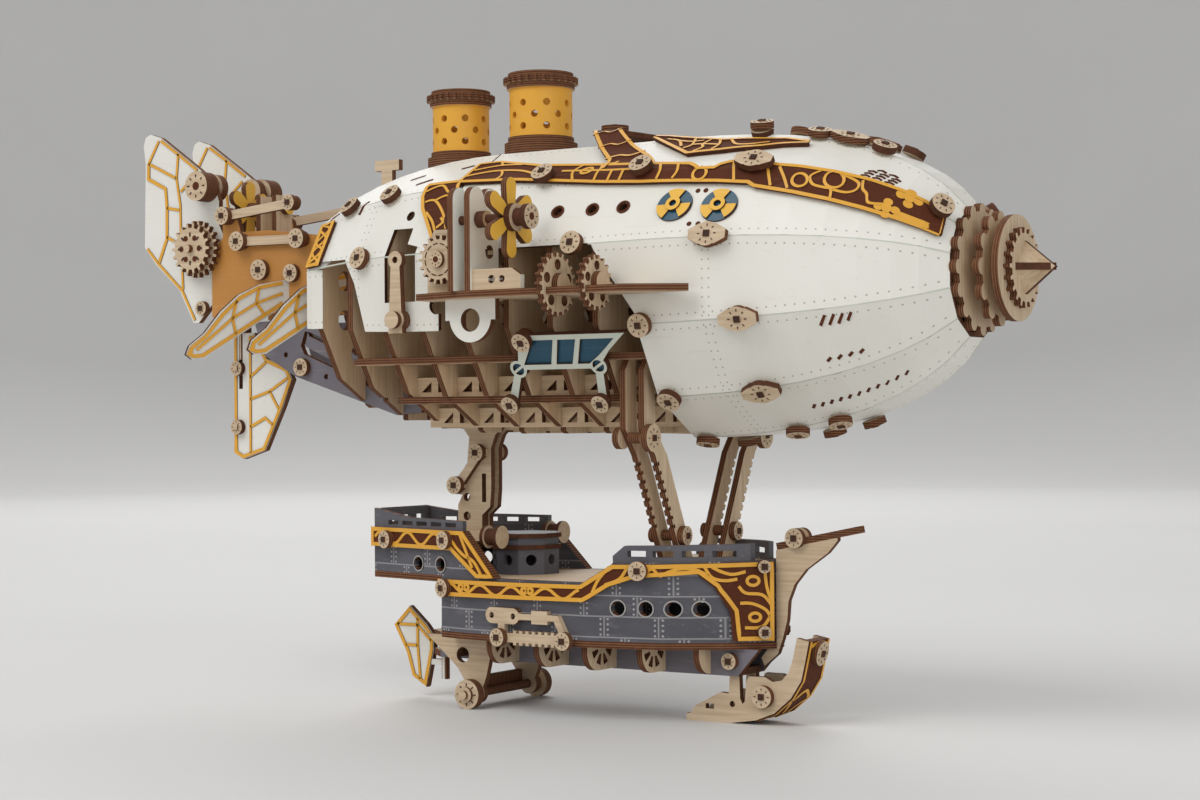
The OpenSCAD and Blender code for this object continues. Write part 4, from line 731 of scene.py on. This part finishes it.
# cut slots, vents and ringed holes in the skin
slots = {"lift": 0.02, "wide": 1.3, "deep": 0.12,
         "lines": (((109.6, -22.1), (111.3, -17.6)), ((111.9, -22.3), (113.6, -17.7)),
                   ((114.2, -22.4), (115.8, -17.9)), ((116.6, -21.8), (117.9, -17.9)),
                   ((-68.5, 43.5), (-67, 50)), ((-61, 42.7), (-59.5, 50)), ((-53.4, 40.6), (-52.4, 49)),
                   ((-42.2, 63.2), (-37, 65)), ((-35.6, 54.5), (-30, 57.2)), ((-22, 64), (-18, 66))),
         "dashes": tuple(((109 + 2.85 * i, -38.9), (110.2 + 2.85 * i, -37.4)) for i in range(4))
         + tuple(((98.3 + 2.63 * i, -64.2), (99.5 + 2.63 * i, -61.8)) for i in range(11)), "dashWide": 0.9,
         "mesh": (120.8, 53.0), "meshStep": (3.1, 1.5), "meshLean": 0.4, "meshWide": 0.85,
         "dots": ((72.1, 35.2), (74.6, 35.2), (72.4, 20.6), (75.2, 20.5)), "dot": 0.75,
         "holes": ((26.5, 30.0), (38.5, 30.0), (49.0, 30.0)), "hole": 1.5, "rim": 0.7, "rimThick": 0.3}
cuts, holeRings = [], []
lift = slots["lift"]
for face in both(onSkin):
    cuts += [layRibbon(face, straight(line), slots["wide"], lift) for line in slots["lines"]]
    cuts += [layRibbon(face, dash, slots["dashWide"], lift) for dash in slots["dashes"]]
    at = flip(patchOn(*slots["mesh"]), face)
    for row in range(-2, 3):
        count = 2 if abs(row) == 2 else 3
        for k in range(count):
            u = (k - (count - 1) / 2) * slots["meshStep"][0] + slots["meshLean"] * row
            v = row * slots["meshStep"][1]
            scale = smooth([(u - 1.2, v - 0.3), (u, v + 0.3), (u + 1.2, v - 0.2)], 3)
            cuts.append(layRibbon(at, scale, slots["meshWide"], lift))
    cuts += [layDisc(flip(patchOn(x, a), face), slots["dot"], lift) for x, a in slots["dots"]]
    rim = ringLine(0, 0, slots["hole"] + slots["rim"] / 2)
    holeRings += [layRibbon(flip(patchOn(x, a), face), rim, slots["rim"], lift) for x, a in slots["holes"]]
finishPlates("skinSlots", cuts, slots["deep"], "field")
finishPlates("portholeRims", holeRings, slots["rimThick"], "field")

# pale backing in the seams between the skin panels
seams = {"wide": 0.38, "deep": 0.55, "thick": 0.5,
         "runs": ((-71.8, -12.8, (15, 45, 75)), (-11.8, 139.8, (45, 75)), (40.5, 139.8, (15,)),
                  (57, 139.8, (-15, -45, -75)))}
backing = [layRibbon(face, straight([(x0, a), (x1, a)], 4.0), seams["wide"], -seams["deep"])
           for face in both(onSkin) for x0, x1, angles in seams["runs"] for a in angles]
finishPlates("seamBacking", backing, seams["thick"], "frame", rim=finishes["frame"][0])
print("fans, slots and seams laid")

# brown and gold facing on the upturned front of the ski
sole = {"path": ((73, 1.4), (79, 3.8), (84.4, 8.4), (87.8, 13.6), (89.2, 19.5), (90.4, 25)),
        "half": 5.4, "lift": 0.02, "thick": 0.25, "goldWide": 1.1, "goldLift": 0.2, "goldThick": 0.3}


def onSole(run, y, lift=0.0):  # run counts the path's corners
    k = min(len(sole["path"]) - 2, int(run))
    (x0, z0), (x1, z1) = sole["path"][k:k + 2]
    long = math.hypot(x1 - x0, z1 - z0)
    t = run - k
    return Vector((x0 + (x1 - x0) * t + lift * (z1 - z0) / long, y,
                   z0 + (z1 - z0) * t - lift * (x1 - x0) / long))


ends = len(sole["path"]) - 1
across = (-sole["half"], 0, sole["half"])
rows = [[onSole(run, y, sole["lift"]) for y in across] for run in range(ends + 1)]
finishPlates("skiFacing", [layStrip(rows, Vector((1, 0, -1)))], sole["thick"], "field")
soleLines = [[(run * 0.5, y) for run in range(2 * ends + 1)] for y in (sole["half"], -sole["half"])]
soleLines += [smooth([(0.3, -4.6), (1, -1.5), (1.8, -4.4)]), smooth([(0.3, 4.6), (1, 1.5), (1.8, 4.4)]),
              smooth([(1.9, -4.6), (2.4, 0), (1.9, 4.6)]), smooth([(4.75, -4.8), (4.9, 0), (4.75, 4.8)])]
soleGold = [layRibbon(onSole, line, sole["goldWide"], sole["goldLift"]) for line in soleLines]
finishPlates("skiFacingGold", soleGold, sole["goldThick"], "gold")
print("ski facing laid")

# gold lines and scrolls on the boat's trim, places are a station and a height
boatGold = {"lift": 1.15, "fineLift": 1.09, "thick": 0.4, "line": 1.2, "fine": 0.9,
            "edges": (((-28.4, 35.6), (27.1, 36), (34.9, 40.7), (43, 43.3), (60, 44.7), (64.7, 40.7),
                       (68.6, 33.4), (69.2, 25.2), (76.3, 25.2), (76.3, 46.7), (36.3, 45.9), (26.5, 39.8),
                       (-28.4, 39.4), (-28.4, 35.6)),
                      ((-61.3, 49.6), (-22.9, 49.6), (-12.3, 41.6), (-6.6, 41.6), (-18.2, 54.4),
                       (-61.3, 54.4), (-61.3, 49.6))),
            "scrolls": (((35.2, 45.7), (32, 42), (30.1, 38.2)), ((40.8, 45.6), (38.5, 42.4), (34, 40.6)),
                        ((46, 43.6), (48.4, 45.6), (50.2, 43.6)),
                        ((50.2, 43.4), (52.8, 44.8), (55.6, 45.6), (58.9, 45.4), (62.6, 43.4)),
                        ((61.4, 46), (63.2, 43), (66.3, 42.1), (68.8, 42.5)),
                        ((63.2, 46), (67.3, 43.9), (70.6, 44.6)),
                        ((69.1, 40.4), (70.6, 38.4), (74.2, 37.8), (76.2, 34.8)),
                        ((74.7, 46), (75.2, 40), (76.2, 36)),
                        ((69.4, 35.5), (72.1, 35.3), (75, 33.4), (76.2, 30.5)),
                        ((76.2, 32.3), (74.2, 28.6), (70.4, 28.4)),
                        ((-22.5, 52), (-18, 48), (-13.5, 46), (-10.5, 42)),
                        ((-19, 54), (-17, 50), (-14, 44))),
            "curls": ((72.2, 41.9, 1.3), (72.6, 31.4, 1.2)), "pairs": (-17.5, 7.5), "pair": 0.85,
            "pairHeight": 38.0, "pairApart": 1.1,
            "waves": ((-26.5, 26, 37.5, 1.5, 12.5), (-60, -24, 52.0, 1.9, 13.0)),
            "portholes": ((37.5, 33.8), (46, 33.8), (53.5, 33.8), (60.5, 33.8), (-39.9, 44.2), (-29.2, 44.3)),
            "porthole": 2.35, "rimWide": 0.4, "rimLift": 0.02, "rimThick": 0.25}
boatLines, boatFine, boatRims = [], [], []
for face in both(onBoat):
    for edge in boatGold["edges"]:
        boatLines.append(layRibbon(face, straight(edge, 2.0), boatGold["line"], boatGold["lift"]))
    fine = [smooth(s, 4) for s in boatGold["scrolls"]]
    fine += [ringLine(x, z, r) for x, z, r in boatGold["curls"]]
    fine += [waveLine(*wave) for wave in boatGold["waves"]]
    fine += [ringLine(x + s * boatGold["pairApart"], boatGold["pairHeight"], boatGold["pair"])
             for x in boatGold["pairs"] for s in (-1, 1)]
    boatFine += [layRibbon(face, line, boatGold["fine"], boatGold["fineLift"]) for line in fine]
    for x, z in boatGold["portholes"]:
        rim = ringLine(x, z, boatGold["porthole"])
        boatRims.append(layRibbon(face, rim, boatGold["rimWide"], boatGold["rimLift"]))
finishPlates("boatTrimGold", boatLines + boatFine, boatGold["thick"], "gold", rim=finishes["gold"][0])
finishPlates("boatPortholeRims", boatRims, boatGold["rimThick"], "line")
print("boat trim laid")

# gold lattice on the white tail plates and rudders
lattice = {"wide": 1.2, "fine": 0.95, "thick": 0.3, "lift": 0.01, "step": 8.0,
           "fin": (((-160.8, 177.9), (-160.9, 172.6), (-152.9, 168.8), (-152.3, 162.2), (-152.4, 151.7),
                    (-156.2, 143.4)),
                   ((-160.8, 177.9), (-147.8, 172)),
                   ((-147, 180.4), (-147.8, 172), (-146.1, 162.9), (-145.9, 151.8), (-145, 134)),
                   ((-152.3, 162.2), (-146.3, 161.1)), ((-152.4, 152.2), (-146.3, 149.4)),
                   ((-145.8, 167.4), (-139.6, 172.5)),
                   ((-161.6, 148.6), (-156.4, 143.2), (-145.4, 133.6), (-139.6, 123.4)),
                   ((-155, 185.4), (-147, 180.2), (-138.2, 174.2)), ((-160.8, 177.9), (-156, 185.4))),
           "leaf": (((-4, 3.2), (-12, 1.5), (-18.5, -2), (-24.2, -7.4), (-29.8, -14.4), (-34.6, -18.3),
                     (-35.4, -20.4), (-34, -21), (-31, -20.7), (-4, -3.4)),
                    ((-4, -0.2), (-13, -3.6), (-21, -8.6), (-33, -19)), ((-13, -3.6), (-12, 1.5)),
                    ((-21, -8.6), (-19.6, -2.8)), ((-13, -3.6), (-10, -7.4)), ((-21, -8.6), (-20, -13.8))),
           "leaves": ((-96, 131), (-69.5, 132)),
           "rudder": (((-132.2, 118), (-132.2, 78.6), (-129, 76.9), (-119.6, 79.6), (-111.8, 94.2),
                       (-107.8, 102.8), (-109.6, 106.2), (-118.4, 109.4), (-124.4, 118)),
                      ((-125.6, 118), (-125.6, 78.2)), ((-125.6, 104), (-118.4, 109)),
                      ((-125.6, 96.5), (-117, 99), (-108.6, 103.6)), ((-117, 99), (-113, 93)),
                      ((-125.6, 87), (-119, 90), (-115.6, 87.6))),
           "boatRudder": (((-63, 22.5), (-57.6, 27.9), (-51.6, 22.8), (-48.8, 19.7), (-48.8, 15.2),
                           (-51.4, 4.2), (-55.9, 6.8), (-58.2, 14.2), (-63, 22.5)),
                          ((-54.4, 25), (-54.4, 16.3), (-53.4, 5.6)), ((-62.6, 22.9), (-54.4, 22.9)),
                          ((-59.2, 16.4), (-54.4, 16.3)), ((-54.4, 22.9), (-49, 18)))}


def layLattice(faces, lines):
    widths = [lattice["wide"]] + [lattice["fine"]] * (len(lines) - 1)
    return [layRibbon(face, straight(line, lattice["step"]), wide, lattice["lift"])
            for face in faces for line, wide in zip(lines, widths)]


finSides = ((tailFin["outer"], 1), (tailFin["inner"], -1))
finFaces = [onPlate(s * y, s * way) for s in (1, -1) for y, way in finSides]
leafFaces = [f for x, z in lattice["leaves"] for way in (1, -1) for f in both(onLeaf(x, z, way))]
plateFaces = [onPlate(1, 1), onPlate(-1, -1)]
finishPlates("tailFinGold", layLattice(finFaces, lattice["fin"]), lattice["thick"], "gold")
finishPlates("stabiliserGold", layLattice(leafFaces, lattice["leaf"]), lattice["thick"], "gold")
finishPlates("lowerRudderGold", layLattice(plateFaces, lattice["rudder"]), lattice["thick"],
             "gold", "lower_rudder")
finishPlates("boatRudderGold", layLattice(plateFaces, lattice["boatRudder"]), lattice["thick"],
             "gold", "boat_rudder")
print("tail lattice laid")

# burnt marks round each button's peg, modelled once on a disc of radius 1 and copied
mark = {"at": 0.68, "long": 0.2, "wide": 0.085, "deep": 0.05, "count": 8}
bpy.ops.object.select_all(action="DESELECT")
bpy.ops.mesh.primitive_cube_add(size=1, location=(0, 0, 0))
burn = bpy.context.object
bpy.ops.object.mode_set(mode="EDIT")
bpy.ops.transform.resize(value=(mark["long"], mark["wide"], mark["deep"]))
bpy.ops.transform.translate(value=(mark["at"], 0, 0))
turn = 2 * math.pi * (mark["count"] - 1) / mark["count"]
bpy.ops.mesh.spin(steps=mark["count"] - 1, dupli=True, angle=turn, center=(0, 0, 0), axis=(0, 0, 1))
bpy.ops.mesh.select_all(action="SELECT")
bpy.ops.mesh.normals_make_consistent(inside=False)
bpy.ops.object.mode_set(mode="OBJECT")

# pins and axles that show such marks or a dark end, in millimetres: place, how far out, radius
tailPin = {"x": -133.4, "z": 168.1, "out": 19, "marks": 5.0, "dark": 1.4}
shaft = {"x": 29, "z": 146.5, "out": 55, "marks": 3.6, "dark": 1.1}
rudderPost = {"x": -130.5, "heights": (87, 107), "out": 3, "marks": 2.5}
wheelAxle = {"x": -21, "z": 4.5, "out": 20, "marks": 4.5, "cap": 21, "dark": 1.3}
tailAxle = {"x": -135, "z": 147, "out": 20.2, "marks": 7.0, "holes": 4, "dark": 0.95}
gearAxle = {"x": -7, "z": 136, "out": 52.6, "marks": 2.4, "dark": 0.9}
sides = {"right": -1, "left": 1}


def sideEnds(pin, ways=(-1, 1)):  # outer ends of a pin that runs across the airship
    return [((pin["x"], way * pin["out"], pin["z"]), Vector((0, way, 0)), pin["marks"]) for way in ways]


def frontEnd(way):  # front end of a propeller's shaft
    return [((shaft["x"], way * shaft["out"], shaft["z"]), Vector((1, 0, 0)), shaft["marks"])]


pegs = {"airframe": sideEnds(tailPin), "propeller_right": frontEnd(-1), "propeller_left": frontEnd(1),
        "lower_rudder": [end for way in (-1, 1) for z in rudderPost["heights"]
                         for end in sideEnds(dict(rudderPost, z=z), (way,))],
        "stern_wheels": sideEnds(wheelAxle), "tail_gears": sideEnds(tailAxle),
        "engine_gear_right": sideEnds(gearAxle, (-1,)), "engine_gear_left": sideEnds(gearAxle, (1,))}
for body, places in pegs.items():
    marked = list(buttons) if body == "airframe" else []
    marked += [(Vector(place) / 1000, outward, radius / 1000) for place, outward, radius in places]
    burns = []
    for centre, outward, radius in marked:
        copy = burn.copy()
        copy.data = burn.data.copy()
        bpy.context.collection.objects.link(copy)
        lay = outward.to_track_quat("Z", "Y").to_matrix().to_4x4() @ Matrix.Scale(radius, 4)
        copy.data.transform(Matrix.Translation(centre) @ lay)
        burns.append(copy)
    bpy.ops.object.select_all(action="DESELECT")
    for copy in burns:
        copy.select_set(True)
    bpy.context.view_layer.objects.active = burns[0]
    if len(burns) > 1:
        bpy.ops.object.join()
    marks = bpy.context.object
    marks.name = "burntMarks_" + body
    marks.data.materials.append(pegEnd)
    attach(marks, body)
bpy.data.objects.remove(burn)

# peg ends that show as dark rounds, and dark rounds laid over the tail gear's holes as painted shade
dark = {"lift": 0.01, "thick": 0.1}


def darkEnds(pin, ways=(-1, 1), out="out"):
    return [(onPlate(way * pin[out], way), pin["x"], pin["z"], pin["dark"]) for way in ways]


# places of the tail gear's holes, each covered by a dark round of painted shade
shadedGearHoles = [(tailAxle["holes"] * math.cos(a), tailAxle["holes"] * math.sin(a))
             for a in (math.pi / 3 * k for k in range(6))]
rounds = {"airframe": darkEnds(tailPin),
          "tail_gears": [(onPlate(way * tailAxle["out"], way), tailAxle["x"] + u, tailAxle["z"] + v,
                          tailAxle["dark"]) for way in (-1, 1) for u, v in shadedGearHoles],
          "stern_wheels": darkEnds(wheelAxle, out="cap"),
          "engine_gear_right": darkEnds(gearAxle, (-1,)), "engine_gear_left": darkEnds(gearAxle, (1,))}
for body, places in rounds.items():
    discs = [layDisc(shifted(face, x, z), radius, dark["lift"]) for face, x, z, radius in places]
    finishPlates("pegEndsAndHoleShade_" + body, discs, dark["thick"], "field", body)


def onShaft(way):
    return lambda u, v, lift=0.0: Vector((shaft["x"] + lift, way * shaft["out"] + u, shaft["z"] + v))


for side, way in sides.items():
    hub = layDisc(onShaft(way), shaft["dark"], dark["lift"])
    finishPlates("propellerPeg_" + side, [hub], dark["thick"], "field", "propeller_" + side)

# burnt circle of dashes on each engine gear
circle = {"out": 51.4, "radius": 4.7, "count": 12, "sweep": 22, "wide": 0.35, "lift": 0.01, "thick": 0.08}
for side, way in sides.items():
    gearFace = onPlate(way * circle["out"], way)
    starts = [360 / circle["count"] * k for k in range(circle["count"])]
    arcs = [ringLine(gearAxle["x"], gearAxle["z"], circle["radius"], at, circle["sweep"], 4) for at in starts]
    dashes = [layRibbon(gearFace, arc, circle["wide"], circle["lift"]) for arc in arcs]
    finishPlates("engineGearMarks_" + side, dashes, circle["thick"], "field",
                 "engine_gear_" + side)
print("button and gear marks laid")

# camera where the photo was taken from
shot = {"place": (0.3883, -0.5712, 0.0898), "aim": (0.01574, 0.0, 0.09477), "roll": -0.400, "lens": 66.8}
bpy.ops.object.select_all(action="DESELECT")
bpy.ops.object.camera_add(location=shot["place"])
camera = bpy.context.object
camera.name = "photoCamera"
camera.data.lens = shot["lens"]
camera.data.sensor_width = 36
camera.data.clip_start = 0.01
look = (Vector(shot["aim"]) - Vector(shot["place"])).to_track_quat("-Z", "Y").to_matrix()
camera.rotation_euler = (look @ Matrix.Rotation(math.radians(shot["roll"]), 3, "Z")).to_euler()
bpy.context.scene.camera = camera

# round studio floor that curves up into a wall
studio = {"radius": 3.4, "wall": 2.0, "bend": 1.3, "steps": 12}
bpy.ops.object.select_all(action="DESELECT")
bpy.ops.mesh.primitive_circle_add(vertices=96, radius=studio["radius"], fill_type="NGON", location=(0, 0, 0))
floor = bpy.context.object
floor.name = "paleFloor"
bpy.ops.object.mode_set(mode="EDIT")
bpy.ops.mesh.select_all(action="SELECT")
bpy.ops.transform.translate(value=(0, 0, studio["wall"]))
bpy.ops.mesh.inset(thickness=0.001, depth=studio["bend"] - studio["wall"])
for i in range(studio["steps"]):
    a0, a1 = (math.pi / 2 * k / studio["steps"] for k in (i, i + 1))
    inward = studio["bend"] * (math.cos(a0) - math.cos(a1))
    down = studio["bend"] * (math.sin(a0) - math.sin(a1))
    bpy.ops.mesh.inset(thickness=inward, depth=down)
bpy.ops.object.mode_set(mode="OBJECT")
bpy.ops.object.shade_smooth()
floorMat, floorTree, floorShader, floorPlace = startFinish("paleFloorPaint", 0.7, 0.2)
soft = noise(floorTree, floorPlace, (2.0, 2.0, 2.0), 2.0)
paint = mixTone(floorTree, soft, tone(214, 213, 211), tone(222, 221, 219))
floorTree.links.new(paint, floorShader.inputs["Base Color"])
floor.data.materials.append(floorMat)

lamps = {"key": {"at": (-0.53, -1.58, 1.9), "aim": (0, 0, 0.11), "size": 1.65, "power": 29.0},
         "fill": {"at": (1.9, -1.13, 0.9), "aim": (0, 0, 0.1), "size": 1.6, "power": 12.0},
         "rim": {"at": (-1.05, 1.5, 1.4), "aim": (0, 0, 0.12), "size": 1.35, "power": 16.0}}
for lampName, lamp in lamps.items():
    bpy.ops.object.light_add(type="AREA", location=lamp["at"])
    light = bpy.context.object
    light.name = lampName + "Light"
    light.data.size = lamp["size"]
    light.data.energy = lamp["power"]
    light.rotation_euler = (Vector(lamp["aim"]) - Vector(lamp["at"])).to_track_quat("-Z", "Y").to_euler()

room = {"colour": (0.80, 0.81, 0.83, 1), "strength": 0.55}
world = bpy.data.worlds.new("paleRoom")
bpy.context.scene.world = world
world.use_nodes = True
sky = world.node_tree.nodes["Background"]
sky.inputs["Color"].default_value = room["colour"]
sky.inputs["Strength"].default_value = room["strength"]
bpy.context.scene.view_settings.view_transform = "Standard"
print("camera, floor and light set")
